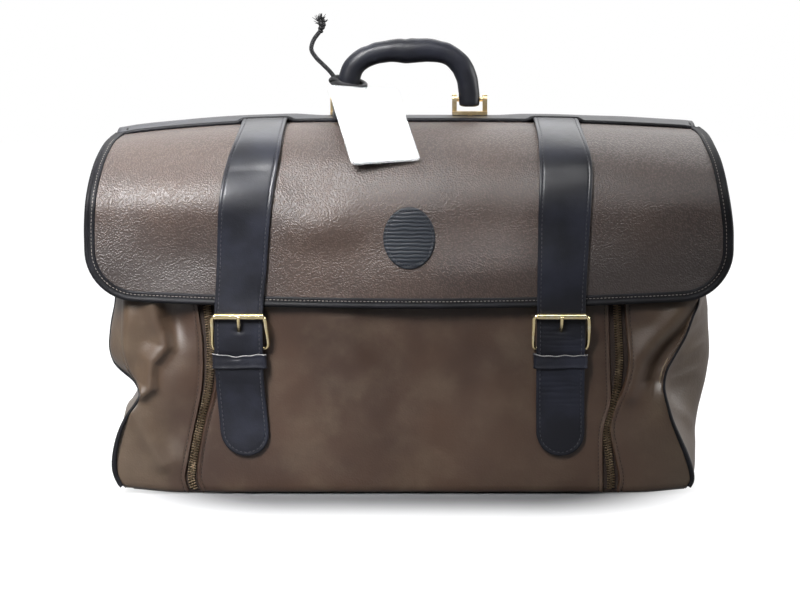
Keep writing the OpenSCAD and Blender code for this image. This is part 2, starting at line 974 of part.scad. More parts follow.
zip_tape(RIGHT, -1);  // zip_tape_right_inner
zip_teeth(LEFT, -1);  // zip_teeth_left_inner
zip_teeth(RIGHT, -1);  // zip_teeth_right_inner
flap_panel();
flap_lining();
flap_binding();
flap_patch();
strap(LEFT);  // strap_left
strap(RIGHT);  // strap_right
strap_tail(LEFT);  // strap_tail_left
strap_tail(RIGHT);  // strap_tail_right
buckle_frame(LEFT);  // buckle_frame_left
buckle_frame(RIGHT);  // buckle_frame_right
buckle_roller(LEFT);  // buckle_roller_left
buckle_roller(RIGHT);  // buckle_roller_right
buckle_prong(LEFT);  // buckle_prong_left
buckle_prong(RIGHT);  // buckle_prong_right
zip_slider(LEFT);  // zip_slider_left
zip_slider(RIGHT);  // zip_slider_right
zip_pull(LEFT);  // zip_pull_left
zip_pull(RIGHT);  // zip_pull_right
handle_grip();
handle_core();
tag_cord_loop();
tag_cord_end();
tag_cord_tassel();
tag_sleeve();
tag_card();
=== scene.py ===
# Looks of a travel bag: a soft leather shell that sags, a flap with two buckled straps, a front
# panel between two zips, a padded handle and a luggage tag. The shape functions count in
# millimetres, in the part's own frame: the front faces -Y, Z is up, X runs to the right.

import bisect
import math
import random

import bmesh
import bpy
from mathutils import Matrix, Vector, noise


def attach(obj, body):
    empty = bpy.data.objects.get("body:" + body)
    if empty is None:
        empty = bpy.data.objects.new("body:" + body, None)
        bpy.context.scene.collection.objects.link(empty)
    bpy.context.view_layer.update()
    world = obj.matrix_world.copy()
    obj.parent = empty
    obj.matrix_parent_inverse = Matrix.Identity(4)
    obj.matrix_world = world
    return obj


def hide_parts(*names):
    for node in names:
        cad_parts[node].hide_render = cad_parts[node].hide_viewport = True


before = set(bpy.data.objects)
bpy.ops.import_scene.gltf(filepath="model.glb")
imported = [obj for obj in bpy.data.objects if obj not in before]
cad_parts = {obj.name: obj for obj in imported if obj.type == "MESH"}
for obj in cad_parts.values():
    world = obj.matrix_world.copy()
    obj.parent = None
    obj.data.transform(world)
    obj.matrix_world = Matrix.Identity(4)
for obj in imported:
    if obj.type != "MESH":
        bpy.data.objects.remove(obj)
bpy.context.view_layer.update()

MM = 0.001
LEFT, RIGHT = -1, 1
SIDE_NAME = {LEFT: "left", RIGHT: "right"}
AHEAD, UP_FRONT, BEHIND, UPWARD, DOWNWARD = (0, -1, 0), (0, -1, 0.6), (0, 1, 0), (0, 0, 1), (0, 0, -1)

# Sizes that the part's source gives, in millimetres: Y is depth, Z is height, A and B are the half
# widths of an ellipse in the side view
FRONT_Y = 104
SHOULDER_Z = 240
TOP_RISE = 82
FRONT_RISE = 73
SEAM_Y = 28.5
SEAM_Z = 317.86
FLAP_A, FLAP_B = 109, 79
STRAP_HALF = 20.75
STRAP_UP = 4.9
BUCKLE_X = {LEFT: -144.5, RIGHT: 129.0}
HEEL = (-108.25, 127.5)
KEEPER_Z = 116.5
CORD_R = 1.9

# How the tag lies: the place of its hole, and its slope, turn and roll in degrees
TAG_AT = (-41, -23.5, 346.4)
TAG_SLOPE, TAG_TURN, TAG_ROLL = 37.2, 12, 5.5

# The tag's cord: the middle of its turns and the way to their lowest point, its free end from the
# handle's leg to the knot, and the knot
LOOP_AT = (-53, -3, 350)
LOOP_TOWARD = (10.5, -11, 0)
CORD_POINTS = [
    (-66, -11, 356), (-70, -11, 361), (-76, -11, 367), (-82, -10, 373),
    (-86, -9, 380), (-84, -8, 388), (-79, -7, 395),
]
KNOT_AT = (-77, -7, 402.6)


# Camera

CAMERA_AT = (-0.0078, -2.106, 0.4)
CAMERA_DOWN = 6.6


def add_camera():
    """Stands where the photographer stood: two metres in front, a little above the bag."""
    data = bpy.data.cameras.new("camera")
    data.lens = 106.4
    data.sensor_width = 36
    camera = bpy.data.objects.new("camera", data)
    camera.location = CAMERA_AT
    camera.rotation_euler = (math.radians(90 - CAMERA_DOWN), 0, 0)
    bpy.context.scene.collection.objects.link(camera)
    bpy.context.scene.camera = camera
    bpy.context.scene.view_settings.view_transform = "Standard"


# Lines, tables and small curves

def smooth(t):
    """Rises gently from 0 to 1, level at both ends."""
    t = min(max(t, 0.0), 1.0)
    return t * t * (3 - 2 * t)


class Curve:
    """A smooth curve through (place, value) pairs, called with a place. It is level past its ends."""

    def __init__(self, *pairs):
        pairs = sorted(pairs)
        self.places = [p for p, _ in pairs]
        self.values = [v for _, v in pairs]
        self.slopes = []
        last = len(pairs) - 1
        for i in range(last + 1):
            (a, low), (b, high) = pairs[max(i - 1, 0)], pairs[min(i + 1, last)]
            self.slopes.append((high - low) / (b - a))

    def __call__(self, at):
        if at <= self.places[0]:
            return self.values[0]
        if at >= self.places[-1]:
            return self.values[-1]
        i = bisect.bisect_right(self.places, at) - 1
        h = self.places[i + 1] - self.places[i]
        t = (at - self.places[i]) / h
        return ((2 * t**3 - 3 * t**2 + 1) * self.values[i]
                + (t**3 - 2 * t**2 + t) * h * self.slopes[i]
                + (3 * t**2 - 2 * t**3) * self.values[i + 1]
                + (t**3 - t**2) * h * self.slopes[i + 1])


def through(points, steps):
    """Points on a smooth curve through the given points."""
    points = [Vector(p) for p in points]
    ends = [2 * points[0] - points[1]] + points + [2 * points[-1] - points[-2]]
    line = []
    for a, b, c, d in zip(ends, ends[1:], ends[2:], ends[3:]):
        for i in range(steps):
            t = i / steps
            line.append(0.5 * (2 * b + (c - a) * t + (2 * a - 5 * b + 4 * c - d) * t**2
                               + (3 * b - a - 3 * c + d) * t**3))
    return line + [points[-1]]


def even(line, pitch):
    """Points a pitch apart along a line of points."""
    reach = [0.0]
    for a, b in zip(line, line[1:]):
        reach.append(reach[-1] + (b - a).length)
    count = max(round(reach[-1] / pitch), 1)
    spots = []
    for k in range(count + 1):
        at = reach[-1] * k / count
        i = min(max(bisect.bisect_right(reach, at) - 1, 0), len(line) - 2)
        spots.append(line[i].lerp(line[i + 1], (at - reach[i]) / (reach[i + 1] - reach[i])))
    return spots


def span(low, high, count):
    """Evenly spaced values in that many steps, with both ends."""
    return [low + (high - low) * i / count for i in range(count + 1)]


def distance_to(line, x, z):
    """Distance from (x, z) to a line of points, and which side of it the point is on."""
    best, side = 1e9, 1
    for (ax, az), (bx, bz) in zip(line, line[1:]):
        dx, dz = bx - ax, bz - az
        t = min(max(((x - ax) * dx + (z - az) * dz) / (dx * dx + dz * dz), 0), 1)
        away = math.hypot(x - ax - t * dx, z - az - t * dz)
        if away < best:
            best = away
            side = 1 if dx * (z - az) - dz * (x - ax) > 0 else -1
    return best, side


def lump(x, z, middle, size, height):
    """A round rise or dip."""
    dx, dz = (x - middle[0]) / size[0], (z - middle[1]) / size[1]
    return height * math.exp(-dx * dx - dz * dz)


def fold(x, z, line, height, wide_left, wide_right):
    """A ridge along a line, with its own slope on each side of it."""
    away, side = distance_to(line, x, z)
    return height * math.exp(-(away / (wide_left if side > 0 else wide_right))**2)


def uneven(x, y, z, size, height):
    """Slow waves of that size and height, as soft leather has. Each face takes its own slice."""
    return height * noise.noise(Vector((x, y, z)) / size)


class Rail:
    """A line in the side view, points (y, z), read by the length along it. side is -1 in front."""

    def __init__(self, points, side):
        self.points = [Vector(p) for p in points]
        self.side = side
        self.runs = [0.0]
        for a, b in zip(self.points, self.points[1:]):
            self.runs.append(self.runs[-1] + (b - a).length)
        ways = [(b - a).normalized() for a, b in zip(self.points, self.points[1:])]
        self.ways = [ways[0]] + [(a + b).normalized() for a, b in zip(ways, ways[1:])] + [ways[-1]]
        self.length = self.runs[-1]

    def at(self, run):
        """The point at that length, and the direction straight out of the surface there."""
        i = min(max(bisect.bisect_right(self.runs, run) - 1, 0), len(self.points) - 2)
        t = (run - self.runs[i]) / (self.runs[i + 1] - self.runs[i])
        way = self.ways[i].lerp(self.ways[i + 1], min(max(t, 0), 1)).normalized()
        out = Vector((-way.y, way.x)) * self.side
        return self.points[i].lerp(self.points[i + 1], t), out

    def run_at(self, z):
        """The length at which the line has come down to height z."""
        for i, (a, b) in enumerate(zip(self.points, self.points[1:])):
            if b.y <= z <= a.y:
                return self.runs[i] + (a.y - z) / (a.y - b.y) * (self.runs[i + 1] - self.runs[i])
        return 0.0 if z > self.points[0].y else self.length


def arch(side, a, b, start, foot):
    """Down a half ellipse from depth start, then straight down to height foot."""
    first = math.asin(start / a)
    bends = span(first, math.pi / 2, 44)
    points = [(side * a * math.sin(t), SHOULDER_Z + b * math.cos(t)) for t in bends]
    return points + [(side * a, SHOULDER_Z - 3), (side * a, foot)]


FLAP_LINE = Rail(arch(-1, FLAP_A, FLAP_B, 29.5, 100), -1)
FRONT_LINE = Rail(arch(-1, FRONT_Y, FRONT_RISE, 31, 12) + [(-103.7, 6), (-102.6, 2.6), (-101, 0.6)], -1)
BACK_LINE = Rail(arch(1, FRONT_Y, TOP_RISE, 30, 12) + [(103.4, 7), (101.6, 3.6)], 1)

# How far the top of the soft bag has sunk, at a distance from the middle
SUNK = {
    LEFT: Curve((0, 0), (60, 0.1), (100, 0.6), (140, 1.8), (180, 4.2), (220, 7.6), (262, 12.6)),
    RIGHT: Curve((0, 0), (60, 0.1), (100, 0.5), (140, 1.2), (180, 2.6), (220, 4.6), (262, 7.2)),
}


# The height from which the bag sinks, and over how much more it comes to sink that far
SINK_Z, SINK_OVER = 232, 84


def settle(p):
    """Lowers a point of the soft top as far as the top has sunk there."""
    side = LEFT if p.x < 0 else RIGHT
    return Vector((p.x, p.y, p.z - SUNK[side](abs(p.x)) * smooth((p.z - SINK_Z) / SINK_OVER)))


# Mesh making

def grid(columns, rows, place):
    """A bmesh grid whose vertex at column c and row r is at place(c, r)."""
    bm = bmesh.new()
    across, along = len(columns) - 1, len(rows) - 1
    bmesh.ops.create_grid(bm, x_segments=across, y_segments=along, size=0.5)
    strip = bm.loops.layers.uv.new("run")
    spots = {v: (round((v.co.x + 0.5) * across), round((v.co.y + 0.5) * along)) for v in bm.verts}
    for v, (i, j) in spots.items():
        v.co = place(columns[i], rows[j]) * MM
    for face in bm.faces:
        for loop in face.loops:
            i, j = spots[loop.vert]
            loop[strip].uv = (i / across, j / along)
    return bm


def close_up(bm):
    """Joins the edges that meet and closes what is open, with the faces outward."""
    bmesh.ops.remove_doubles(bm, verts=bm.verts, dist=0.000002)
    rim = [e for e in bm.edges if e.is_boundary]
    if rim:
        bmesh.ops.holes_fill(bm, edges=rim, sides=0)
    bmesh.ops.recalc_face_normals(bm, faces=bm.faces)
    return bm


def face_out(bm, way):
    """Turns an open sheet so that its faces look the given way."""
    bm.normal_update()
    if sum(f.normal.dot(Vector(way)) * f.calc_area() for f in bm.faces) < 0:
        bmesh.ops.reverse_faces(bm, faces=bm.faces)
    return bm


def turns(count):
    """Angles once round."""
    return span(0, 2 * math.pi, count)


def joined(parts):
    """One bmesh of several."""
    whole = bmesh.new()
    for part in parts:
        spare = bpy.data.meshes.new("spare")
        part.to_mesh(spare)
        part.free()
        whole.from_mesh(spare)
        bpy.data.meshes.remove(spare)
    return whole


def keep(name, bm, finish, body, *nodes, sharp=50):
    """Makes a mesh a piece of the bag that rides on a body and stands for the nodes."""
    mesh = bpy.data.meshes.new(name)
    bm.to_mesh(mesh)
    bm.free()
    mesh.polygons.foreach_set("use_smooth", [True] * len(mesh.polygons))
    mesh.set_sharp_from_angle(angle=math.radians(sharp))
    mesh.materials.append(finish.material)
    piece = bpy.data.objects.new(name, mesh)
    bpy.context.scene.collection.objects.link(piece)
    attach(piece, body)
    if nodes:
        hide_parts(*nodes)
    return piece


def thicken(piece, thick):
    """Gives a sheet its thickness, on the inner side."""
    wall = piece.modifiers.new("thickness", "SOLIDIFY")
    wall.thickness = thick * MM
    wall.offset = -1
    wall.use_even_offset = False


def keep_sheet(name, bm, way, thick, finish, body, *nodes):
    """Makes an open sheet that looks the given way a piece with a thickness."""
    thicken(keep(name, face_out(bm, way), finish, body, *nodes), thick)


def way_at(line, i):
    """The direction of a line of points at its point i."""
    return (line[min(i + 1, len(line) - 1)] - line[max(i - 1, 0)]).normalized()


def tube(points, radius, reference, sides=12):
    """A closed round bar along the points. radius is a number, or one read by the share of the
    way; the first point of each ring lies in the reference direction."""
    line = [Vector(p) for p in points]
    read_radius = radius if callable(radius) else lambda share: radius
    rings = []
    for i, p in enumerate(line):
        way = way_at(line, i)
        side = (Vector(reference) - way * way.dot(Vector(reference))).normalized()
        rings.append((p, side, way.cross(side), read_radius(i / (len(line) - 1))))

    def place(turn, row):
        p, side, up, r = rings[row]
        return p + side * (r * math.cos(turn)) + up * (r * math.sin(turn))

    return close_up(grid(turns(sides), range(len(line)), place))


def keep_stitches(name, lines, out, thread, body, pitch, length, thick):
    """Makes rows of thread marks along lines of points a piece; out gives the surface's way."""
    bm = bmesh.new()
    for line in lines:
        spots = even(line, pitch)
        for a, b in zip(spots, spots[1:]):
            middle, way = (a + b) / 2, (b - a).normalized()
            up = out(middle)
            up = (up - way * way.dot(up)).normalized()
            turn = Matrix((way, way.cross(up), up)).transposed().to_4x4()
            size = Matrix.Diagonal((length / 2 * MM, thick * MM, thick * 0.8 * MM, 1))
            where = Matrix.Translation(middle * MM)
            bmesh.ops.create_uvsphere(bm, u_segments=6, v_segments=4, radius=1,
                                      matrix=where @ turn @ size @ Matrix.Rotation(math.pi / 2, 4, "Y"))
    keep(name, bm, thread, body)


# Finishes

class Wire:
    """A value on its way through a material, so that a sum of values is written as a sum."""

    def __init__(self, finish, socket):
        self.finish, self.socket = finish, socket

    def maths(self, operation, *values):
        return self.finish.add("ShaderNodeMath", {"operation": operation}, values)

    def __add__(self, other):
        return self.maths("ADD", self, other)

    __radd__ = __add__

    def __sub__(self, other):
        return self.maths("SUBTRACT", self, other)

    def __rsub__(self, other):
        return self.maths("SUBTRACT", other, self)

    def __mul__(self, other):
        return self.maths("MULTIPLY", self, other)

    __rmul__ = __mul__

    def __pow__(self, other):
        return self.maths("POWER", self, other)

    def __abs__(self):
        return self.maths("ABSOLUTE", self)

    def larger(self, other):
        return self.maths("MAXIMUM", self, other)


class Nodes:
    """The nodes of a material or a world in the making; place names what their patterns lie in."""

    def __init__(self, tree, place):
        self.tree = tree
        self.place = self.add("ShaderNodeTexCoord", {}, {}, out=place)

    def add(self, kind, settings, values, out=0):
        """One node: its settings, then the values or links of its sockets."""
        node = self.tree.nodes.new(kind)
        for name, value in settings.items():
            setattr(node, name, value)
        pairs = values.items() if isinstance(values, dict) else enumerate(values)
        for socket, value in pairs:
            self.plug(node.inputs[socket], value)
        return Wire(self, node.outputs[out]) if node.outputs else None

    def plug(self, socket, value):
        if isinstance(value, Wire):
            self.tree.links.new(value.socket, socket)
        else:
            socket.default_value = value

    def axis(self, name):
        """One coordinate of the place."""
        return self.add("ShaderNodeSeparateXYZ", {}, {0: self.place}, out=name)

    def seen_by(self):
        """Whether the camera looks at it straight, in a shiny surface, or through a clear one."""
        kinds = ("Is Camera Ray", "Is Glossy Ray", "Is Transmission Ray")
        return [self.add("ShaderNodeLightPath", {}, {}, out=kind) for kind in kinds]

    def stretched(self, x, y, z):
        """The place, stretched, for a grain that runs one way."""
        return self.add("ShaderNodeMapping", {}, {"Vector": self.place, "Scale": (x, y, z)})

    def strip(self, u, v):
        """The piece's own run and turn, for what winds round a cord."""
        where = self.add("ShaderNodeUVMap", {"uv_map": "run"}, {})
        return self.add("ShaderNodeMapping", {}, {"Vector": where, "Scale": (u, v, 1)})

    def clouds(self, scale, detail=3, rough=0.55, vector=None):
        return self.add("ShaderNodeTexNoise", {}, {
            "Vector": vector or self.place, "Scale": scale, "Detail": detail, "Roughness": rough})

    def cells(self, scale, feature="F1"):
        return self.add("ShaderNodeTexVoronoi", {"feature": feature}, {
            "Vector": self.place, "Scale": scale})

    def bands(self, scale, direction, vector=None, distortion=0):
        return self.add("ShaderNodeTexWave", {"bands_direction": direction}, {
            "Vector": vector or self.place, "Scale": scale, "Distortion": distortion})

    def step(self, value, low, high, to_low=0.0, to_high=1.0):
        return self.add("ShaderNodeMapRange", {"interpolation_type": "SMOOTHSTEP"}, {
            "Value": value, "From Min": low, "From Max": high,
            "To Min": to_low, "To Max": to_high})

    def mix(self, a, b, factor):
        return self.add("ShaderNodeMix", {"data_type": "RGBA"}, {0: factor, 6: a, 7: b}, out=2)

    def bump(self, height, distance, strength=1.0, under=None):
        values = {"Height": height, "Distance": distance * MM, "Strength": strength}
        if under:
            values["Normal"] = under
        return self.add("ShaderNodeBump", {}, values)


class Finish(Nodes):
    """A material in the making: a Principled shader and what feeds it."""

    def __init__(self, slot, name=None, **sockets):
        self.slot = slot
        self.material = bpy.data.materials.new(name or slot)
        self.material.use_nodes = True
        super().__init__(self.material.node_tree, "Object")
        self.shader = self.tree.nodes["Principled BSDF"]
        for socket, value in sockets.items():
            self.set(socket.replace("_", " "), value)

    def set(self, socket, value):
        self.plug(self.shader.inputs[socket], value)

    def wears(self, colour, rough, relief=None):
        """Gives it what nearly every finish has: a colour, a roughness and a relief."""
        self.set("Base Color", colour)
        self.set("Roughness", rough)
        if relief:
            self.set("Normal", relief)
        return self


def paint(red, green, blue):
    """A colour as it is seen on a screen, from 0 to 255, turned into light."""
    def light(c):
        c /= 255
        return c / 12.92 if c <= 0.04045 else ((c + 0.055) / 1.055)**2.4
    return light(red), light(green), light(blue), 1.0


def make_flap_leather():
    """Taupe calf with a pebbled grain whose pale pebble tops are partly painted glints, and painted shade
    darkening it toward its lower corners.
    """
    leather = Finish("flap_leather", Specular_IOR_Level=0.8)
    pebble = leather.cells(620, "F1")
    grain = 1 - leather.step(pebble, 0.08, 0.72)
    slow = leather.clouds(9, 4)
    tone = leather.mix(paint(37, 23, 18), paint(52, 36, 28), leather.step(slow, 0.3, 0.7))
    # Pale pebble tops: the grain's own colour, made lighter to paint the glints on the pebbles.
    tone = leather.mix(tone, paint(92, 73, 60), grain * leather.clouds(300, 2) * 0.7)
    # Painted shade: the lower corners at both ends are darkened toward a near black brown.
    ends = leather.step(abs(leather.axis("X")), 0.08, 0.17)
    low = leather.step(leather.axis("Z"), 0.19, 0.25, 1, 0)
    tone = leather.mix(tone, paint(26, 16, 13), ends * low * 0.75)
    under = leather.bump(leather.clouds(40, 1), 0.6, 0.3)
    return leather.wears(tone, 0.48 + slow * 0.1 - grain * 0.08, leather.bump(grain, 0.27, 1.0, under))


def make_bag_leather():
    """The same leather worn smooth, with a slight grey-green bloom in patches and a grey-green sheen painted
    on at the ends.
    """
    leather = Finish("bag_leather", Specular_IOR_Level=0.6)
    fine = leather.cells(700, "SMOOTH_F1")
    slow = leather.clouds(7, 4)
    patchy = leather.clouds(34, 5, 0.6)
    tone = leather.mix(paint(44, 29, 21), paint(62, 45, 34), leather.step(slow, 0.32, 0.7))
    # Painted sheen: the ends are tinted pale grey-green, as where light glances off them; the patches are
    # the leather's own bloom.
    ends = leather.step(abs(leather.axis("X")), 0.18, 0.25)
    bloom_and_painted_sheen = leather.step(patchy, 0.4, 0.9) * 0.35 + ends * 0.28
    tone = leather.mix(tone, paint(94, 83, 67), bloom_and_painted_sheen)
    under = leather.bump(leather.clouds(50, 4), 1.2, 0.35)
    return leather.wears(tone, 0.32 + patchy * 0.16, leather.bump(fine, 0.3, 0.4, under))


def make_black_leather(name, shine):
    """Blue-black leather, polished by that much where it is high on the bag and matt below."""
    leather = Finish("black_leather", name, Specular_IOR_Level=0.22, Coat_Roughness=0.28)
    grain = leather.cells(1100, "SMOOTH_F1")
    slow = leather.clouds(24, 4)
    tone = leather.mix(paint(17, 18, 24), paint(30, 32, 42), leather.step(slow, 0.35, 0.75))
    high = leather.step(leather.axis("Z"), 0.2, 0.29, 0.05, shine)
    leather.set("Coat Weight", high * (0.5 + slow))
    under = leather.bump(leather.clouds(150, 4, 0.6), 0.6, 0.5)
    return leather.wears(tone, 0.42 + slow * 0.24, leather.bump(grain, 0.14, 0.6, under))


def make_binding_leather():
    leather = Finish("binding_leather", Specular_IOR_Level=0.2)
    slow = leather.clouds(40, 4)
    tone = leather.mix(paint(11, 11, 14), paint(22, 22, 27), leather.step(slow, 0.35, 0.8))
    return leather.wears(tone, 0.46 + slow * 0.2, leather.bump(leather.clouds(500, 3), 0.25, 0.5))


def make_patch_leather():
    """Blue-black leather pressed with fine wandering ripples that run across."""
    leather = Finish("patch_leather", Specular_IOR_Level=0.3)
    ripple = leather.bands(95, "Z", distortion=3.0)
    fine = leather.clouds(420, 3, vector=leather.stretched(0.35, 1, 2.2))
    tone = leather.mix(paint(22, 25, 31), paint(52, 57, 64), ripple * fine)
    return leather.wears(tone, 0.34 + fine * 0.2, leather.bump(ripple * 0.6 + fine * 0.6, 0.5, 0.8))


def make_lining():
    """Buff cotton lining in a plain weave."""
    cloth = Finish("lining_cloth", Specular_IOR_Level=0.2, Sheen_Weight=0.2)
    weave = cloth.bands(210, "X") * 0.5 + cloth.bands(210, "Z") * 0.5
    slow = cloth.clouds(18, 3)
    tone = cloth.mix(paint(120, 106, 88), paint(146, 131, 110), weave * slow)
    return cloth.wears(tone, 0.8 + slow * 0.12, cloth.bump(weave, 0.15, 0.6))


def make_board(slot):
    """Pressed fibre board, flecked."""
    board = Finish(slot, slot + "_finish", Specular_IOR_Level=0.3)
    flecks = board.clouds(420, 4, 0.7)
    tone = board.mix(paint(126, 104, 78), paint(156, 134, 104), flecks)
    return board.wears(tone, 0.7 + flecks * 0.2, board.bump(flecks, 0.15, 0.5))


def make_metal(slot, tone, worn, rough):
    """Plated metal: even colour with light handling marks and a softer shine where rubbed."""
    metal = Finish(slot, slot + "_finish", Metallic=1.0)
    marks = metal.clouds(160, 5, 0.65)
    scratches = metal.clouds(900, 2, vector=metal.stretched(0.2, 1, 1))
    tone = metal.mix(tone, worn, metal.step(marks, 0.45, 0.75))
    return metal.wears(tone, rough + marks * 0.14, metal.bump(scratches, 0.02, 0.4))


def make_tape():
    """Zip tape: brown twill."""
    tape = Finish("zip_tape", Specular_IOR_Level=0.2, Sheen_Weight=0.15)
    twill = tape.bands(420, "DIAGONAL")
    slow = tape.clouds(60, 3)
    tone = tape.mix(paint(30, 23, 20), paint(58, 45, 38), twill * slow)
    return tape.wears(tone, 0.78 + slow * 0.15, tape.bump(twill, 0.12, 0.6))


def make_thread(name, dark, light):
    thread = Finish("black_leather", name, Specular_IOR_Level=0.35)
    twist = thread.bands(900, "DIAGONAL")
    return thread.wears(thread.mix(dark, light, twist), 0.55 + twist * 0.1)


def make_cord():
    """Black waxed cotton cord, plaited."""
    cord = Finish("cord", Specular_IOR_Level=0.3, Sheen_Weight=0.1)
    one = cord.bands(3.2, "DIAGONAL", cord.strip(1, 12))
    other = cord.bands(3.2, "DIAGONAL", cord.strip(-1, 12))
    plait = one * other
    tone = cord.mix(paint(14, 14, 16), paint(44, 44, 48), plait)
    return cord.wears(tone, 0.6 + plait * 0.15, cord.bump(plait, 0.4, 0.7))


def make_film():
    """Clear, slightly clouded plastic film."""
    film = Finish("tag_film", Specular_IOR_Level=0.5, IOR=1.45)
    haze = film.clouds(90, 4)
    film.set("Alpha", 0.16 + haze * 0.12)
    tone = film.mix(paint(226, 230, 232), paint(246, 248, 249), haze)
    return film.wears(tone, 0.12 + haze * 0.14, film.bump(film.clouds(40, 2), 0.4, 0.4))


def make_card():
    card = Finish("tag_card", Specular_IOR_Level=0.3)
    fibre = card.clouds(700, 3)
    tone = card.mix(paint(236, 236, 234), paint(247, 247, 246), fibre)
    return card.wears(tone, 0.6 + fibre * 0.1, card.bump(fibre, 0.03, 0.4))


GOLD = make_metal("buckle_metal", paint(244, 224, 172), paint(252, 241, 208), 0.14)
CHAMPAGNE = make_metal("bracket_metal", paint(222, 196, 148), paint(238, 220, 184), 0.26)
BRASS = make_metal("zip_metal", paint(112, 96, 78), paint(156, 138, 114), 0.36)
FLAP_LEATHER = make_flap_leather()
BAG_LEATHER = make_bag_leather()
BLACK_LEATHER = make_black_leather("strap_leather", 0.42)
GRIP_LEATHER = make_black_leather("grip_leather", 0.16)
BINDING_LEATHER = make_binding_leather()
PATCH_LEATHER = make_patch_leather()
LINING = make_lining()
BOARD = make_board("board")
ROPE = make_board("rope_core")
TAPE = make_tape()
CORD = make_cord()
FILM = make_film()
CARD = make_card()
BLACK_THREAD = make_thread("black_thread", paint(26, 26, 30), paint(66, 66, 72))
PALE_THREAD = make_thread("pale_thread", paint(92, 88, 84), paint(134, 128, 122))
BROWN_THREAD = make_thread("brown_thread", paint(14, 12, 12), paint(30, 25, 22))
# A pale grey finish that paints the highlight along the keepers' upper edges.
PAINTED_EDGE_HIGHLIGHT = make_thread("painted_highlight_edge", paint(92, 92, 94), paint(150, 148, 146))

CARRIED = {
    "handle_bracket_left": CHAMPAGNE, "handle_bracket_right": CHAMPAGNE,
    "handle_pins": CHAMPAGNE, "bracket_rivets": CHAMPAGNE,
    "buckle_roller_left": GOLD, "buckle_roller_right": GOLD,
    "zip_slider_left": BRASS, "zip_slider_right": BRASS,
    "zip_pull_left": BRASS, "zip_pull_right": BRASS,
    "handle_core": ROPE,
}


def refinish_carried():
    """Gives the rigid CAD pieces that stay their metal or board finish."""
    for node, finish in CARRIED.items():
        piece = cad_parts[node]
        for slot in piece.material_slots:
            slot.material = finish.material
        if not piece.material_slots:
            piece.data.materials.append(finish.material)


# The tag's cord

# The turns of cord round the handle's leg: radius, tilt and how far they sit above the middle
CORD_TURNS = [(15.0, 16, 1.2), (16.2, 27, -1.8)]


def cord_turn(radius, tilt, rise):
    """One turn of the cord as a closed ring, lowest where the tag hangs."""
    middle = Vector(LOOP_AT) + Vector((0, 0, rise))
    toward = Vector(LOOP_TOWARD).normalized()
    lean = Matrix.Rotation(math.radians(-tilt), 3, toward.cross(Vector((0, 0, 1))))
    up = lean @ Vector((0, 0, 1))
    ring = [middle + lean @ (Matrix.Rotation(t, 3, "Z") @ toward * radius)
            for t in turns(56)]

    def around(turn, row):
        out = (ring[row] - middle).normalized()
        return ring[row] + out * (CORD_R * math.cos(turn)) + up * (CORD_R * math.sin(turn))

    return close_up(grid(turns(12), range(len(ring)), around))


def make_cord_pieces():
    """The plaited cord: turns round the handle's leg, a hitch, and an end that stands in a knot."""
    rings = [cord_turn(*turn) for turn in CORD_TURNS]
    hitch = through([(-62, -13.5, 352), (-66.5, -12.5, 354), (-69, -9, 353), (-67.5, -4.5, 350.5),
                     (-63, -5, 348.5), (-60, -10, 349.5), (-62.5, -14.5, 351.5)], 6)
    tail = through([(-66, -9, 338), (-65.5, -20, 331), (-63.5, -30, 325), (-61.5, -38, 320)], 6)
    thick = Curve((0, 1.9), (0.55, 2.2), (0.7, 3.9), (0.9, 4.2), (1, 2.4))
    bm = joined(rings + [tube(hitch, CORD_R, (0, 0, 1))])
    keep("cord_round_handle", bm, CORD, "handle", "tag_cord_loop")
    keep("cord_short_end", tube(tail, thick, (1, 0, 0)), CORD, "tag")

    line = through(CORD_POINTS, 6)
    free = keep("cord_free_end", tube(line, CORD_R, (0, 1, 0)), CORD, "handle", "tag_cord_end")
    knot = make_knot()
    length = sum((b - a).length for a, b in zip(line, line[1:]))
    line[0] * MM
    [p * MM for p in line]


# The knot's turns, as (height, shift, radius, lean), and how many strands fray out of it
KNOT_TURNS = [(-6.6, -0.8, 2.5, 0.5), (-3.8, 0.0, 3.3, -0.4), (-0.6, 0.4, 3.7, 0.35), (2.2, 0.0, 3.2, -0.3)]
STRANDS = 90


def make_knot():
    """The knot at the cord's end, and its strands, frayed into a tuft that opens upward."""
    middle = Vector(KNOT_AT)
    bm = bmesh.new()
    for rise, shift, wide, lean in KNOT_TURNS:
        place = Matrix.Translation((middle + Vector((shift, 0, rise))) * MM)
        bmesh.ops.create_uvsphere(bm, u_segments=18, v_segments=12, radius=wide * MM,
                                  matrix=place @ Matrix.Rotation(lean, 4, "Y")
                                  @ Matrix.Diagonal((1, 1, 0.72, 1)))
    dice = random.Random(7)
    for _ in range(STRANDS):
        lean = abs(dice.gauss(0, 0.55))
        turn = dice.uniform(0, 2 * math.pi)
        long = dice.uniform(3.5, 8.0)
        way = Vector((math.sin(lean) * math.cos(turn), math.sin(lean) * math.sin(turn), math.cos(lean)))
        foot = middle + Vector((-0.8, 0, -1 + dice.uniform(-2, 2))) + way * (long / 2 + 1)
        aim = way.to_track_quat("Z", "Y").to_matrix().to_4x4()
        bmesh.ops.create_cone(bm, cap_ends=True, segments=5, radius1=0.6 * MM, radius2=0.2 * MM,
                              depth=long * MM, matrix=Matrix.Translation(foot * MM) @ aim)
    bm.loops.layers.uv.new("run")
    return keep("cord_knot", bm, CORD, "handle", "tag_cord_tassel")


# Flap

# Half the flap's width as (height, width), and its lower corners: the height where they start,
# their radius, and the width over which the lower edge dips
FLAP_HALF = {
    LEFT: Curve((318, 255), (313, 260), (305, 264.5), (291, 268.5), (262, 272), (232, 274), (212, 274)),
    RIGHT: Curve((318, 253), (312, 258), (300, 262.5), (288, 265.5), (262, 269), (232, 273), (212, 273.5)),
}
CORNER_Z, CORNER_R, CORNER_X = 212, 43, 233
EDGE_DIP = 6

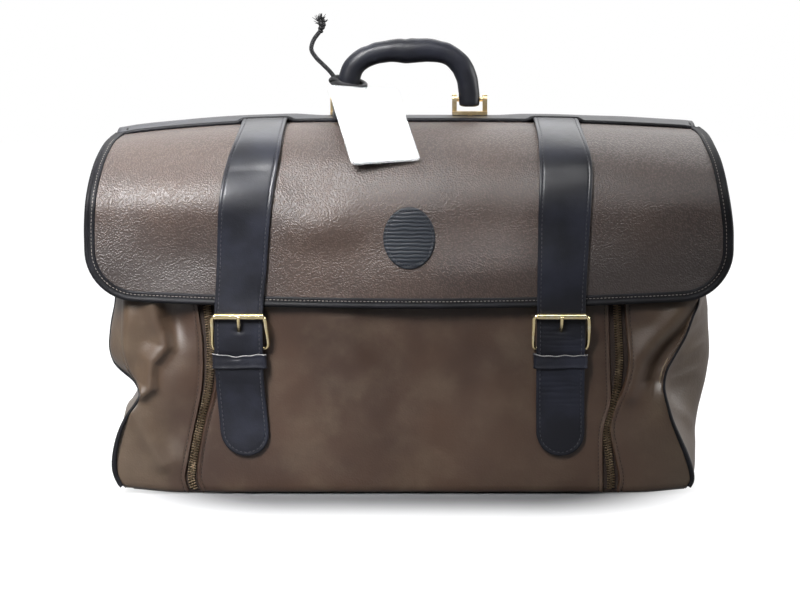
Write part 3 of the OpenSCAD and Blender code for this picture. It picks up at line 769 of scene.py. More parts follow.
# Soft rises and dips of the flap: middle, size and height
FLAP_LUMPS = [
    ((-185, 284), (55, 15), -2.4), ((-182, 250), (50, 22), 2.6), ((-78, 264), (34, 16), -3.6),
    ((-78, 230), (38, 19), 5.0), ((-244, 262), (14, 34), -1.6), ((-34, 236), (22, 36), -1.6),
    ((70, 240), (60, 22), -1.8), ((50, 192), (84, 22), 4.2), ((196, 262), (50, 26), 1.0),
    ((-190, 203), (44, 20), -2.4), ((236, 220), (20, 34), -1.6), ((-120, 232), (10, 30), -1.2),
]


def flap_swell(x, z):
    """How far the soft flap stands proud or sinks."""
    free = smooth((SEAM_Z - z) / 22)
    rise = sum(lump(x, z, *spec) for spec in FLAP_LUMPS)
    return free * (rise + uneven(x, 7, z * 1.3, 64, 1.5) + uneven(x, 31, z, 26, 0.35))


def tucked(up, z):
    """The flap is pressed thin where it goes into its seam."""
    return up * (0.3 + 0.7 * smooth((SEAM_Z - 0.5 - z) / 9))


def heights_down(line, foot):
    """Heights down a line to its foot, evenly spaced along it."""
    last = line.run_at(foot)
    return [line.at(run)[0].y for run in span(0, last, 50)]


def flap_spot(share, row, up, inset=0.0):
    """A point of the flap: share goes from -1 at its left edge to 1, row is a height, or an angle
    round the corner below zero; up is the height over the inside."""
    side = LEFT if share < 0 else RIGHT
    if row > 0:
        z, half = row, FLAP_HALF[side](row)
    else:
        z = CORNER_Z - (CORNER_R - inset) * math.sin(-row)
        half = FLAP_HALF[side](CORNER_Z) - CORNER_R + (CORNER_R - inset) * math.cos(-row) + inset
    x = share * (half - inset)
    low = smooth((SHOULDER_Z - z) / 70)
    z -= EDGE_DIP * low * (1 - min(abs(x) / CORNER_X, 1)**2)
    return on_line(FLAP_LINE, x, z, tucked(up, z) + flap_swell(x, z))


def on_line(line, x, z, up):
    """The point of a face at width x and height z, up millimetres out of it, sunk with the top."""
    p, out = line.at(line.run_at(z))
    return settle(Vector((x, p.x + out.x * up, p.y + out.y * up)))


def out_of(line):
    """Gives the direction straight out of a face at a point on it."""
    def direction(spot):
        out = line.at(line.run_at(spot.z))[1]
        return Vector((0, out.x, out.y))
    return direction


def flap_sheet(up, inset):
    """One layer of the flap, its outer face up millimetres over the inside."""
    rows = heights_down(FLAP_LINE, CORNER_Z) + [-t for t in span(0, math.pi / 2, 16)[1:]]
    edge = [1 - (1 - s)**1.15 for s in span(0, 1, 55)]
    shares = [-s for s in reversed(edge)] + edge[1:]
    return grid(shares, rows, lambda share, row: flap_spot(share, row, up, inset))


def flap_edge(inset, up):
    """The flap's edge from the left end of its seam round to the right end."""
    rows = heights_down(FLAP_LINE, CORNER_Z) + [-t for t in span(0, math.pi / 2, 14)[1:]]
    left = [flap_spot(-1, row, up, inset) for row in rows]
    bottom = [flap_spot(share, -math.pi / 2, up, inset) for share in span(-1, 1, 120)[1:-1]]
    return left + bottom + [flap_spot(1, row, up, inset) for row in reversed(rows)]


# Section of the binding, as (how far in from the edge, height over the flap's inside)
BINDING_SECTION = [
    (8.0, 3.5), (7.5, 4.5), (6.2, 4.75), (5.2, 4.35), (4.2, 4.5), (3.2, 4.3), (2.3, 4.75),
    (1.2, 5.2), (0.1, 5.1), (-0.8, 4.4), (-1.3, 3.3), (-1.35, 2.2), (-1.0, 1.0), (-0.3, 0.2),
    (0.8, -0.2), (2.2, 0.0), (7.2, 0.0), (8.0, 0.6), (8.0, 3.5),
]


def make_flap():
    """Flap leather, its lining and its stitched binding with a rounded bead at the edge."""
    keep_sheet("flap_leather_sheet", flap_sheet(3.6, 1.5), UP_FRONT, 2.4, FLAP_LEATHER, "flap", "flap_panel")
    keep_sheet("flap_lining_sheet", flap_sheet(1.0, 1.5), UP_FRONT, 0.9, LINING, "flap", "flap_lining")
    edge, inner, outer = flap_edge(0, 2.3), flap_edge(5, 2.3), flap_edge(0, 4.3)

    def place(k, row):
        inward = (inner[row] - edge[row]).normalized()
        up = (outer[row] - edge[row]).normalized()
        across, height = BINDING_SECTION[k]
        return edge[row] + inward * across + up * (height - 2.3)

    bm = close_up(grid(range(len(BINDING_SECTION)), range(len(edge)), place))
    keep("flap_binding_band", bm, BINDING_LEATHER, "flap", "flap_binding", sharp=70)
    keep_stitches("flap_binding_stitches", [flap_edge(5.0, 4.5)], out_of(FLAP_LINE),
                  PALE_THREAD, "flap", pitch=3.2, length=2.3, thick=0.34)


# The oval patch: the height of its middle, its width and height, and its section from the middle
# out and back under, as (share of the way out, height over the flap's inside)
PATCH_Z, PATCH_W, PATCH_H = 222, 44, 52
PATCH_SECTION = [
    (0.001, 5.5), (0.3, 5.5), (0.6, 5.45), (0.78, 5.4), (0.85, 5.2), (0.89, 4.95), (0.93, 5.2),
    (0.975, 5.1), (1.0, 4.6), (1.0, 3.7), (0.5, 3.62), (0.001, 3.62),
]
PATCH_STITCHES = (0.89, 5.25)


def make_patch():
    """The oval patch, crowned and stitched near its edge; its middle is left plain."""
    def place(turn, ring):
        share, up = ring
        x = PATCH_W / 2 * share * math.cos(turn)
        z = PATCH_Z + PATCH_H / 2 * share * math.sin(turn)
        return on_line(FLAP_LINE, x, z, up + flap_swell(x, z))

    bm = close_up(grid(turns(72), PATCH_SECTION, place))
    keep("patch_oval", bm, PATCH_LEATHER, "flap", "flap_patch", sharp=70)
    line = [place(t, PATCH_STITCHES) for t in turns(90)]
    keep_stitches("patch_stitches", [line], out_of(FLAP_LINE),
                  BLACK_THREAD, "flap", pitch=2.6, length=1.9, thick=0.3)


# Straps

# The straps' middle lines as (height, x), and how much wider they are than in the buckle
STRAP_X = {
    LEFT: Curve((30, -138.8), (60, -141.2), (104, -144.5), (161, -144.5), (190, -142.3),
                (220, -140.6), (250, -138.5), (280, -134.5), (300, -130), (320, -125.5)),
    RIGHT: Curve((30, 130), (104, 129), (161, 129), (190, 129.4), (220, 130.4), (250, 131.4),
                 (280, 132.8), (300, 131.5), (320, 128)),
}
STRAP_WIDER = Curve((34, 0), (165, 0), (200, 0.6), (270, 1.7), (292, 1.0), (306, -0.6), (320, -1.4))
STRAP_END_Z = 34
STRAP_CENTRE_Z = STRAP_END_Z + STRAP_HALF
# The straps' inside from the flap down through buckle and keeper, as (y, z)
TAIL = [
    (-113.9, 160.8), (-113.9, 142), (-112.7, 128.5), (-111.4, 124), (-110.5, 121), (-110.5, 112),
    (-109.4, 104), (-106.9, 88.5), (-105.2, 70), (-104.9, 52), (-104.9, STRAP_END_Z),
]
# Height of a strap's outer face and of its underside, by the distance from its edge
EDGE_SHAPE = Curve((0, 1.35), (0.12, 2.0), (0.5, 2.4), (1.0, 2.58), (1.9, 2.66), (2.6, 2.6),
                   (3.2, 2.26), (3.8, 2.58), (4.8, 2.7), (9, 2.74), (21, 2.76))
FOOT_SHAPE = Curve((0, 1.35), (0.12, 0.6), (0.5, 0.2), (1.0, 0.0), (21, 0.0))
EDGE_STOPS = [0, 0.12, 0.5, 1.0, 1.6, 2.3, 2.75, 3.2, 3.65, 4.2, 5.2, 7.5, 11, 15, 18.5]
GROOVE_IN, GROOVE_UP = 3.2, 2.42
# Height down to which the straps lie on the flap
STRAP_FREE_Z = 163


def strap_line():
    """The straps' inside in the side view, over the flap and down through buckle and keeper."""
    last = FLAP_LINE.run_at(STRAP_FREE_Z)
    upper = []
    for run in span(1.0, last, 60):
        p, out = FLAP_LINE.at(run)
        rise = STRAP_UP * smooth((run + 14) / 26) + 1.8 * math.exp(-((p.y - 284) / 13)**2)
        upper.append(p + out * rise)
    lower = [Vector((p.x, p.y)) for p in through([(y, z, 0) for y, z in TAIL], 7)]
    return Rail(upper + lower, -1)


STRAP_LINE = strap_line()

PRONG_HOLE_Z = 143.6
# Creases across the straps: height, lean, depth and width
CREASES = {
    LEFT: [(279, 0.02, 0.5, 2.6), (150, 0.03, 0.12, 1.0), (108, -0.02, 0.22, 2.0), (97, 0.02, 0.16, 2)],
    RIGHT: [(150, 0.04, 0.42, 0.9), (146.5, -0.03, 0.5, 0.8), (143, 0.05, 0.5, 0.9),
            (139, -0.06, 0.55, 1.0), (135.5, 0.03, 0.45, 0.8), (131.5, -0.04, 0.5, 0.9),
            (128, 0.05, 0.45, 0.8), (172, 0.03, 0.3, 1.0), (168, -0.04, 0.25, 0.9),
            (105, 0.03, 0.3, 0.9), (99, -0.03, 0.35, 1.0), (95, 0.04, 0.4, 0.9),
            (89.5, -0.05, 0.4, 1.1), (84, 0.03, 0.32, 1.0), (80, -0.02, 0.3, 0.9),
            (276, 0.04, 0.4, 3.2)],
}


def creased(side, across, z):
    """How deep the creases are at a point of a strap, with the hole that the prong comes out of."""
    deep = 2.4 * math.exp(-(across / 2.1)**2 - ((z - PRONG_HOLE_Z) / 2.3)**2)
    for at, lean, depth, wide in CREASES[side]:
        line = at + lean * across + 1.6 * noise.noise(Vector((across / 9, at, side * 3)))
        fade = 0.55 + 0.45 * noise.noise(Vector((across / 14, at * 3, 5)))
        deep += depth * fade * math.exp(-((z - line) / wide)**2)
    return deep


def strap_spot(side, across, run, up):
    """A point of a strap, across from its middle and up from its inside."""
    p, out = STRAP_LINE.at(run)
    x = STRAP_X[side](p.y) + across
    over = smooth((p.y - 158) / 12)
    up += over * flap_swell(x, max(p.y, 170))
    if p.y > 158:
        up += 0.35 * math.exp(-((p.y - 168) / 7)**2)
    return settle(Vector((x, p.x + out.x * up, p.y + out.y * up)))


def strap_reach(z):
    """Half the strap's width at a height, round its end."""
    if z >= STRAP_CENTRE_Z:
        return STRAP_HALF + STRAP_WIDER(z)
    return math.sqrt(max(STRAP_HALF**2 - (STRAP_CENTRE_Z - z)**2, 0.02))


def from_edge(across, z):
    """Distance from a point of the strap to its edge."""
    if z >= STRAP_CENTRE_Z:
        return strap_reach(z) - abs(across)
    return STRAP_HALF - math.hypot(across, STRAP_CENTRE_Z - z)


def strap_runs():
    """Lengths along a strap, closer together where its end is round."""
    turn = STRAP_LINE.length - STRAP_HALF
    runs = span(0, STRAP_LINE.run_at(STRAP_FREE_Z), 90)
    runs += span(runs[-1], turn, 150)[1:]
    return runs + [turn + STRAP_HALF * math.sin(t) for t in span(0, math.pi / 2 - 0.03, 18)[1:]]


def make_strap(side):
    """One strap from the seam to its rounded end, with grooved edges and its creases."""
    name = "strap_" + SIDE_NAME[side]
    inward = [s / STRAP_HALF for s in EDGE_STOPS]
    top = [(-(1 - s), True) for s in inward] + [(0, True)] + [(1 - s, True) for s in reversed(inward)]
    foot = [(1 - s, False) for s in inward[1:10:2]] + [(0, False)]
    foot += [(-(1 - s), False) for s in reversed(inward[1:10:2])] + [(-1, True)]

    def place(column, run):
        share, on_top = column
        z = STRAP_LINE.at(run)[0].y
        across = share * strap_reach(z)
        rim = max(from_edge(across, z), 0)
        if not on_top:
            return strap_spot(side, across, run, FOOT_SHAPE(rim))
        deep = creased(side, across, z) * smooth(rim / 2)
        return strap_spot(side, across, run, EDGE_SHAPE(rim) - deep)

    bm = close_up(grid(top + foot, strap_runs(), place))
    keep(name + "_leather", bm, BLACK_LEATHER, "flap", name, "strap_tail_" + SIDE_NAME[side], sharp=60)
    keep_stitches(name + "_stitches", [strap_groove(side)], out_of(STRAP_LINE),
                  BLACK_THREAD, "flap", pitch=3.8, length=2.7, thick=0.36)


def strap_groove(side):
    """The groove that a strap's stitches lie in: down its left edge, round its end and up."""
    runs = [r for r in strap_runs() if STRAP_LINE.at(r)[0].y >= STRAP_CENTRE_Z]

    def edge(s):
        return [strap_spot(side, s * (strap_reach(STRAP_LINE.at(r)[0].y) - GROOVE_IN), r, GROOVE_UP)
                for r in runs]

    radius = STRAP_HALF - GROOVE_IN
    turn = [strap_spot(side, -radius * math.cos(t),
                       STRAP_LINE.run_at(STRAP_CENTRE_Z - radius * math.sin(t)), GROOVE_UP)
            for t in span(0, math.pi, 30)[1:-1]]
    return edge(LEFT) + turn + list(reversed(edge(RIGHT)))


def round_loop(half, back, front, bend, pitch):
    """Places round a loop with rounded corners, as (x, y, outward x, outward y)."""
    corners = [(half - bend, front + bend), (half - bend, back - bend),
               (bend - half, back - bend), (bend - half, front + bend)]
    loop = []
    for k, (x, y) in enumerate(corners):
        for t in span(0, math.pi / 2, 5):
            turn = t + (k - 1) * math.pi / 2
            loop.append((x + bend * math.cos(turn), y + bend * math.sin(turn),
                         math.cos(turn), math.sin(turn)))
    places = []
    for a, b in zip(loop, loop[1:] + loop[:1]):
        steps = max(int(math.hypot(b[0] - a[0], b[1] - a[1]) / pitch), 1)
        places += [[a[i] + (b[i] - a[i]) * k / steps for i in range(4)] for k in range(steps)]
    return places + places[:1]


# Section of a keeper, as (height, how far out): two raised edges and a flat middle
KEEPER_SECTION = [(-5.9, 0), (-6.2, 0.7), (-5.8, 1.35), (-4.9, 1.5), (-4.0, 1.15), (-2, 1.2), (0, 1.3),
                  (2, 1.2), (3.6, 1.1), (4.5, 1.45), (5.4, 1.6), (6.1, 1.1), (6.2, 0.4), (5.9, 0),
                  (-5.9, 0)]


def make_keeper(side):
    """The loop that holds a strap's end. Its upper edge is wavy, with a pale painted highlight along it."""
    name = "keeper_" + SIDE_NAME[side]
    loop = round_loop(half=21.9, back=-106.6, front=-113.2, bend=2.2, pitch=1.6)

    def waved(x):
        return 0.5 * math.sin(x / 4.6 + side) + 0.35 * math.sin(x / 2.1) - 0.9 * math.cos(x / 11)

    def place(k, row):
        x, y, out_x, out_y = loop[row]
        high, out = KEEPER_SECTION[k]
        slack = 0.9 * math.exp(-((y + 113) / 2)**2) * math.cos(x / 9 + side)
        lift = waved(x) if high > 3 else 0.4 * math.sin(x / 7)
        reach = out + 0.3 * noise.noise(Vector((x / 4, high / 3, side))) + 0.25 * slack
        return Vector((BUCKLE_X[side] + x + out_x * reach, y + out_y * reach, KEEPER_Z + high + lift))

    bm = close_up(grid(range(len(KEEPER_SECTION)), range(len(loop)), place))
    keep(name + "_loop", bm, BLACK_LEATHER, "front_panel_body", name, sharp=60)
    # The pale line along the upper edge is a painted highlight.
    worn = [Vector((BUCKLE_X[side] + x + out_x * 1.35, y + out_y * 1.35, KEEPER_Z + 5.75 + waved(x)))
            for x, y, out_x, out_y in loop if y < -111.5]
    keep(name + "_painted_highlight_edge", tube(worn, 0.42, (0, 0, 1), sides=8), PAINTED_EDGE_HIGHLIGHT, "front_panel_body")


# Radius of a buckle's wire, and the middle of its roller as (y, z)
WIRE_R = 1.75
ROLLER = (-119.55, 156)
# The buckle's side bars from its roller to its heel, as (x from the strap's middle, share down)
BUCKLE_SIDES = {
    LEFT: ([(-19, 0), (-21, 0.01), (-22.6, 0.08), (-22.8, 0.3), (-22.8, 0.88), (-21.4, 0.98), (-18, 1)],
           [(18, 1), (22, 0.99), (24.0, 0.9), (23.9, 0.72), (23.0, 0.4), (22.2, 0.14), (20.8, 0.03),
            (18.4, 0)]),
    RIGHT: ([(-19, 0), (-21.6, 0.01), (-23.2, 0.08), (-23.4, 0.3), (-23.2, 0.88), (-21.8, 0.98), (-18, 1)],
            [(18, 1), (21.6, 0.98), (23.0, 0.9), (23.6, 0.6), (23.4, 0.2), (22.2, 0.04), (19, 0)]),
}
# The prong in the side view, as (y, z), and its radius along the way
PRONG = [(-109.2, 129.5), (-111.3, 134), (-112, 139), (-113.5, 142.4), (-116.8, 145.2),
         (-119.8, 148), (-122, 151.5), (-123.4, 155), (-123.7, 157)]
PRONG_THICK = Curve((0, 1.6), (0.9, 1.6), (0.97, 1.2), (1, 0.5))


def make_buckle(side):
    """The bent wire frame of a buckle, closed through its roller, and the prong on its heel bar."""
    name = SIDE_NAME[side]
    down = Vector((HEEL[0] - ROLLER[0], HEEL[1] - ROLLER[1]))

    def spot(x, share):
        return Vector((BUCKLE_X[side] + x, ROLLER[0] + down.x * share, ROLLER[1] + down.y * share))

    first, second = BUCKLE_SIDES[side]
    line = through([spot(x, share) for x, share in first + second], 6)
    wire = tube(line, WIRE_R, (0, -0.93, -0.37), sides=14)
    keep("buckle_frame_" + name + "_wire", wire, GOLD, "buckle_" + name, "buckle_frame_" + name)

    bar = [Vector((BUCKLE_X[side] + x, *HEEL)) for x in span(-2, 2, 4)]
    eye = tube(bar, WIRE_R + 1.3, (0, 1, 0), sides=16)
    rod = tube(through([(BUCKLE_X[side], y, z) for y, z in PRONG], 5), PRONG_THICK, (1, 0, 0))
    keep("prong_" + name + "_rod", joined([eye, rod]), GOLD,
         "prong_" + name, "buckle_prong_" + name, sharp=60)


# Half the thickness of a chape, and how far from its middle its two halves start and end
CHAPE_HALF = 0.85
CHAPE_SPLIT, CHAPE_WIDE = 2.2, 16.7


def chape_line():
    """A chape in the side view: up behind, round the heel bar and down a little in front."""
    y, z = HEEL
    path = [(-105.2, 92.6), (-105.2, 100), (-105.2, 112), (-105.2, 122), (-105.25, 127.5)]
    path += [(y + 3.05 * math.cos(t), z + 3.05 * math.sin(t)) for t in span(0, 1.5 * math.pi, 18)]
    return [Vector(p) for p in path + [(-107.4, 123.2), (-106.4, 120.6)]]


def make_chape(side):
    """The folded leather that holds a buckle's heel bar, split for the prong."""
    name = "chape_" + SIDE_NAME[side]
    line = chape_line()

    def place(corner, row):
        x, up = corner
        way = way_at(line, row)
        p = line[row] + Vector((-way.y, way.x)) * up
        return Vector((BUCKLE_X[side] + x, p.x, p.y))

    parts = []
    for low, high in ((-CHAPE_WIDE, -CHAPE_SPLIT), (CHAPE_SPLIT, CHAPE_WIDE)):
        section = [(low, -CHAPE_HALF), (high, -CHAPE_HALF), (high, CHAPE_HALF), (low, CHAPE_HALF),
                   (low, -CHAPE_HALF)]
        parts.append(close_up(grid(section, range(len(line)), place)))
    keep(name + "_leather", joined(parts), BLACK_LEATHER, "front_panel_body", name)


# Body

# Edges of the zips' folded leather and the line of the end piping, as (height, x)
ZIP_INNER = {
    LEFT: Curve((0, -178.8), (13.5, -182.8), (32, -181.5), (62, -175.8), (93, -167.7), (129, -164.5),
                (164, -166), (188, -168)),
    RIGHT: Curve((0, 167.7), (32, 167), (56, 167.6), (80, 173.6), (105, 173), (162, 171), (188, 170)),
}
ZIP_OUTER = {
    LEFT: Curve((0, -188.2), (13.5, -191.8), (26, -190), (56, -184), (93, -176.6), (129, -175.6),
                (165, -179.5), (188, -181)),
    RIGHT: Curve((0, 178.4), (13.5, 180.2), (32, 176.6), (56, 171.8), (74, 175.6), (98, 184),
                 (117, 187), (162, 183.6), (188, 183)),
}
PIPING_X = {
    LEFT: Curve((0, -243.5), (5, -248), (14.4, -251.5), (25, -252.8), (39, -251.5), (55, -247.3),
                (69, -240.7), (80, -233), (87, -230), (95, -233), (106, -239), (126, -244),
                (168, -244), (200, -246), (240, -249), (330, -249)),
    RIGHT: Curve((0, 237.5), (3.4, 240.5), (8.8, 242.8), (20, 241.8), (34, 237.8), (50, 231), (63, 225.5),
                 (77, 221.3), (93, 217.8), (107, 219.7), (120, 226.2), (137, 235.4), (155, 241.9),
                 (166, 246), (200, 248.5), (240, 249.5), (330, 249)),
}
# The end panels' greatest reach to each side, as (height, x)
BULGE_X = {
    LEFT: Curve((0, -246), (6, -252), (12, -254), (28, -253.5), (45, -252), (62, -250), (71, -246),
                (80, -238), (87, -231.5), (94, -239), (102, -248.5), (111, -256), (119, -259),
                (128, -259.4), (146, -257), (163, -254.4), (200, -252), (250, -250), (330, -249)),
    RIGHT: Curve((0, 245), (3, 249), (14, 251.5), (31, 252), (50, 251.5), (67, 254.5), (87, 259.7),
                 (101, 262.3), (120, 263.5), (143, 261.7), (159, 261.4), (200, 256), (250, 251),
                 (330, 249)),
}
# How deep behind the front face an end panel reaches that far, and how far round the corner the
# front leather has been dragged before it meets the piping
BULGE_DEPTH = {LEFT: Curve((80, 44), (110, 34), (200, 40), (260, 58)), RIGHT: Curve((0, 58), (1, 58))}
DRAGGED = {
    LEFT: Curve((0, 1.5), (84, 1.5), (96, 12), (108, 32), (120, 38), (185, 38), (225, 14), (250, 1.5)),
    RIGHT: Curve((0, 1.5), (1, 1.5)),
}
CORNER_BEND = 9

# Lines of the folds in the front sides, as (x, z)
LEFT_RIDGE = [(-216, 180), (-217.4, 163.5), (-214.7, 150.4), (-209.3, 139.2), (-208, 128.5),
              (-214.7, 120.4), (-220, 115), (-222, 104), (-221.4, 93.4), (-228, 88)]
LEFT_FOOT_RIDGE = [(-236, 70), (-226, 52), (-218, 38), (-212, 26)]
RIGHT_RIDGE = [(240, 161), (228.5, 148), (209.5, 132.5), (196, 116), (190.5, 101), (187, 88)]
RIGHT_VALLEY = [(243, 158), (233, 141), (222, 127), (214, 113), (211, 99)]
# Those folds: line, height, and width on each side of it; and rises and dips beside them: middle,
# size and height
SIDE_FOLDS = {
    LEFT: [(LEFT_RIDGE, 7.0, 6.0, 10.5), (LEFT_FOOT_RIDGE, 3.6, 11, 9)],
    RIGHT: [(RIGHT_RIDGE, 6.0, 10, 15), (RIGHT_VALLEY, -5.5, 10, 9)],
}
SIDE_LUMPS = {
    LEFT: [((-199, 152), (12, 20), -6.5), ((-201, 96), (15, 24), 2.5), ((-233, 108), (8, 13), -4),
           ((-237, 150), (10, 16), 2.5), ((-205, 52), (14, 18), -2.5)],
    RIGHT: [((205, 60), (18, 22), 3), ((200, 158), (14, 9), 2.5)],
}


def side_relief(side, x, z):
    """The folds of a front side, where the unsupported leather has sunk between zip and end. The
    right one is also gathered in small tucks along its piping."""
    rise = sum(fold(x, z, *spec) for spec in SIDE_FOLDS[side])
    rise += sum(lump(x, z, *spec) for spec in SIDE_LUMPS[side])
    if side == RIGHT:
        near = math.exp(-((x - PIPING_X[RIGHT](z)) / 8)**2)
        rise += near * 0.5 * math.sin(z / 2.3) * math.exp(-((z - 104) / 14)**2)
    return rise * smooth((x * side - 178) / 10) * smooth(z / 30) * smooth((205 - z) / 25)


FRONT_SWELL = [(-84, 172), (-58, 144), (-47, 118), (-38, 90), (-16, 66), (6, 50)]


def front_relief(x, z):
    """Slow swells of the front, the whole face set back a little."""
    free = smooth(z / 25) * smooth((200 - z) / 30)
    rise = fold(x, z, FRONT_SWELL, 3.4, 20, 30) + lump(x, z, (48, 100), (34, 50), -1.2)
    rise += lump(x, z, (75, 70), (26, 50), 1.4)
    return free * (rise + uneven(x, 3, z, 70, 0.9) + uneven(x, 9, z, 24, 0.2)) - 0.9


def corner_lift(x, y, z):
    """The base's corners are rounded: they stand a little off the ground."""
    return 4.2 * smooth((abs(x) - 196) / 54) * smooth((abs(y) - 66) / 38) * (1 - smooth(z / 34))


def front_spot(x, z, up):
    """A point of the body's front at width x and height z."""
    rise = front_relief(x, z)
    if abs(x) > 160:
        rise += side_relief(LEFT if x < 0 else RIGHT, x, z)
    spot = on_line(FRONT_LINE, x, z, up + rise)
    spot.z += corner_lift(x, FRONT_Y, z)
    return spot


def zip_lip(rim):
    """The rounded, stitched lip of leather along a zip: proud at the fold, dipped at the stitches."""
    fold_rise = 0.7 * math.exp(-((rim - 1.6) / 1.5)**2)
    stitch_dip = 0.5 * math.exp(-((rim - LIP_STITCHES) / 1.0)**2)
    return fold_rise - stitch_dip - 1.8 * math.exp(-(rim / 0.7)**2)


# Heights up the front to the zips' heads, and the lip of leather along a zip: how far from its
# edge the lip ends and its stitches run, with stops for its columns
FRONT_HEIGHTS = span(0.7, 188, 120)
LIP, LIP_STITCHES = 6.2, 4.4
LIP_STOPS = [0, 0.5, 1.2, 2, 2.8, 3.6, LIP_STITCHES, 5.2, LIP]
# Column at which a front side's leather has gone round its corner
BENT_AT = LIP + 1


def lip_stitches(name, lines, body):
    """The stitches along a zip's leather edge, a little proud of it."""
    raised = [[p + Vector((0, -0.25, 0)) for p in line] for line in lines]
    keep_stitches(name, raised, lambda p: Vector(AHEAD), BROWN_THREAD, body,
                  pitch=3.3, length=2.3, thick=0.36)


def make_front_side(side):
    """The leather between a zip and the end, from the base up over the shoulder."""
    name = "front_side_" + SIDE_NAME[side]

    def place(column, z):
        near, corner = ZIP_OUTER[side](z), corner_x(side, z)
        width, bend = abs(corner - near), corner_bend(side, z)
        if column > BENT_AT:
            back = bend + (DRAGGED[side](z) - bend) * (column - BENT_AT)
            face = FRONT_LINE.at(FRONT_LINE.run_at(z))[0].x
            return end_place(side, face + back, z, 0)
        rim = column if column < LIP + 0.1 else LIP + (column - LIP) * (width - LIP)
        x = near + side * rim
        fade = smooth((212 - z) / 30)
        round_off = max(bend - (width - rim), 0)
        curl = math.sqrt(max(bend**2 - round_off**2, 0)) - bend
        return front_spot(x, z, zip_lip(rim) * fade + curl)

    columns = LIP_STOPS + [LIP + s for s in span(0, 0.88, 40)[1:] + span(0.88, 1, 10)[1:]]
    columns += [BENT_AT + s for s in span(0, 1, 14)[1:]]
    rows = FRONT_HEIGHTS + list(reversed(heights_down(FRONT_LINE, 192)[1:]))
    keep_sheet(name + "_leather", grid(columns, rows, place), (0, -1, 0.3), 2, BAG_LEATHER, "bag", name)
    lip_stitches(name + "_stitches", [[place(LIP_STITCHES, z) for z in FRONT_HEIGHTS]], "bag")


# Section of the front panel's bound upper edge, as (how far back, height)
PANEL_BINDING = [(-1.2, 183.5), (-1.6, 184.5), (-1.75, 188), (-1.6, 191.2), (-0.6, 192.8), (1.5, 193),
                 (4.4, 192.8), (5.2, 191), (5.3, 184.5), (5.0, 183.5), (-1.2, 183.5)]


def make_front_panel():
    """The panel that drops between the zips, its lining and its bound upper edge."""
    body = "front_panel_body"

    def place(column, z):
        left, right = ZIP_INNER[LEFT](z), ZIP_INNER[RIGHT](z)
        part, at = column
        if part == "middle":
            return front_spot(left + LIP + (right - left - 2 * LIP) * at, z, zip_lip(9))
        return front_spot(left + at if part == "left" else right - at, z, zip_lip(at))

    columns = [("left", rim) for rim in LIP_STOPS] + [("middle", s) for s in span(0, 1, 100)[1:-1]]
    columns += [("right", rim) for rim in reversed(LIP_STOPS)]
    bm = grid(columns, FRONT_HEIGHTS, place)
    keep_sheet("front_panel_leather", bm, AHEAD, 2, BAG_LEATHER, body, "front_panel")
    lines = [[place((end, LIP_STITCHES), z) for z in FRONT_HEIGHTS] for end in ("left", "right")]
    lip_stitches("front_panel_stitches", lines, body)
    bm = grid(span(-158, 160, 40), span(8, 180, 30), lambda x, z: front_spot(x, z, -3.6))
    keep_sheet("front_panel_lining_sheet", bm, AHEAD, 0.9, LINING, body, "front_panel_lining")

    def band(spot, x):
        back_by, z = spot
        return Vector((x, front_spot(x, 188, -0.2).y + back_by, z))

    bm = close_up(grid(PANEL_BINDING, span(-167, 167, 80), band))
    keep("front_panel_top_band", bm, BINDING_LEATHER, body, "front_panel_binding", sharp=70)


def zip_middle(side, z):
    """The zip's line of teeth: x at a height."""
    return (ZIP_INNER[side](z) + ZIP_OUTER[side](z)) / 2


# The face of the zips' tapes, and their teeth: where they start and how far they run, their pitch,
# and the width, depth and height of one
TAPE_FRONT = -101.0
TEETH_Z, TEETH_RUN = 5, 184
TOOTH_PITCH = 2.2
TOOTH = (3.6, 2.4, 0.46 * TOOTH_PITCH)


def zip_tape(side, half):
    """The tape on one half of a zip, with a low welt beside its teeth."""
    def place(across, z):
        x = zip_middle(side, z) + side * half * across
        return Vector((x, TAPE_FRONT + 0.25 * math.exp(-((across - 4) / 1.2)**2), z))

    return grid(span(1.4, 11.5, 10), span(4, 190, 90), place)


def zip_teeth(side, half):
    """The single teeth on one half of a zip; the halves are half a pitch apart."""
    bm = bmesh.new()
    size = Matrix.Diagonal([w * MM for w in TOOTH] + [1])
    for k in range(int(TEETH_RUN / TOOTH_PITCH)):
        z = TEETH_Z + (k + (0.5 if half == 1 else 0)) * TOOTH_PITCH
        way = Vector((zip_middle(side, z + 1) - zip_middle(side, z - 1), 0, 2)).normalized()
        turn = Matrix.Rotation(math.atan2(way.x, way.z), 4, "Y")
        middle = Vector((zip_middle(side, z) + side * half * 1.45, TAPE_FRONT - 0.9, z))
        made = bmesh.ops.create_cube(bm, size=1, matrix=Matrix.Translation(middle * MM) @ turn @ size)
        rims = list({e for v in made["verts"] for e in v.link_edges})
        bmesh.ops.bevel(bm, geom=rims, affect="EDGES", offset=0.26 * MM, segments=1,
                        profile=0.5, material=-1)
    return bm


def make_zip(side):
    """Tapes and teeth of one zip, half on the bag and half on the front panel."""
    for half, body, part in ((1, "bag", "outer"), (-1, "front_panel_body", "inner")):
        tape = f"zip_tape_{SIDE_NAME[side]}_{part}"
        keep_sheet(tape + "_cloth", zip_tape(side, half), AHEAD, 0.8, TAPE, body, tape)
        teeth = f"zip_teeth_{SIDE_NAME[side]}_{part}"
        keep(teeth + "_row", zip_teeth(side, half), BRASS, body, teeth, sharp=25)


# Creases that run back from the pinched edge of each end, as lines of (y, z) with a height
END_CREASES = {
    LEFT: [([(-100, 90), (-70, 100), (-50, 104)], 1.2), ([(-100, 84), (-66, 74), (-40, 70)], 1.0)],
    RIGHT: [([(-100, 106), (-80, 120), (-66, 126)], 1.8), ([(-100, 98), (-84, 99), (-68, 102)], 1.5),
            ([(-98, 84), (-82, 70), (-66, 56)], 1.7), ([(-98, 140), (-82, 148), (-68, 152)], 1.3),
            ([(-86, 160), (-78, 168), (-68, 172)], 1.0)],
}


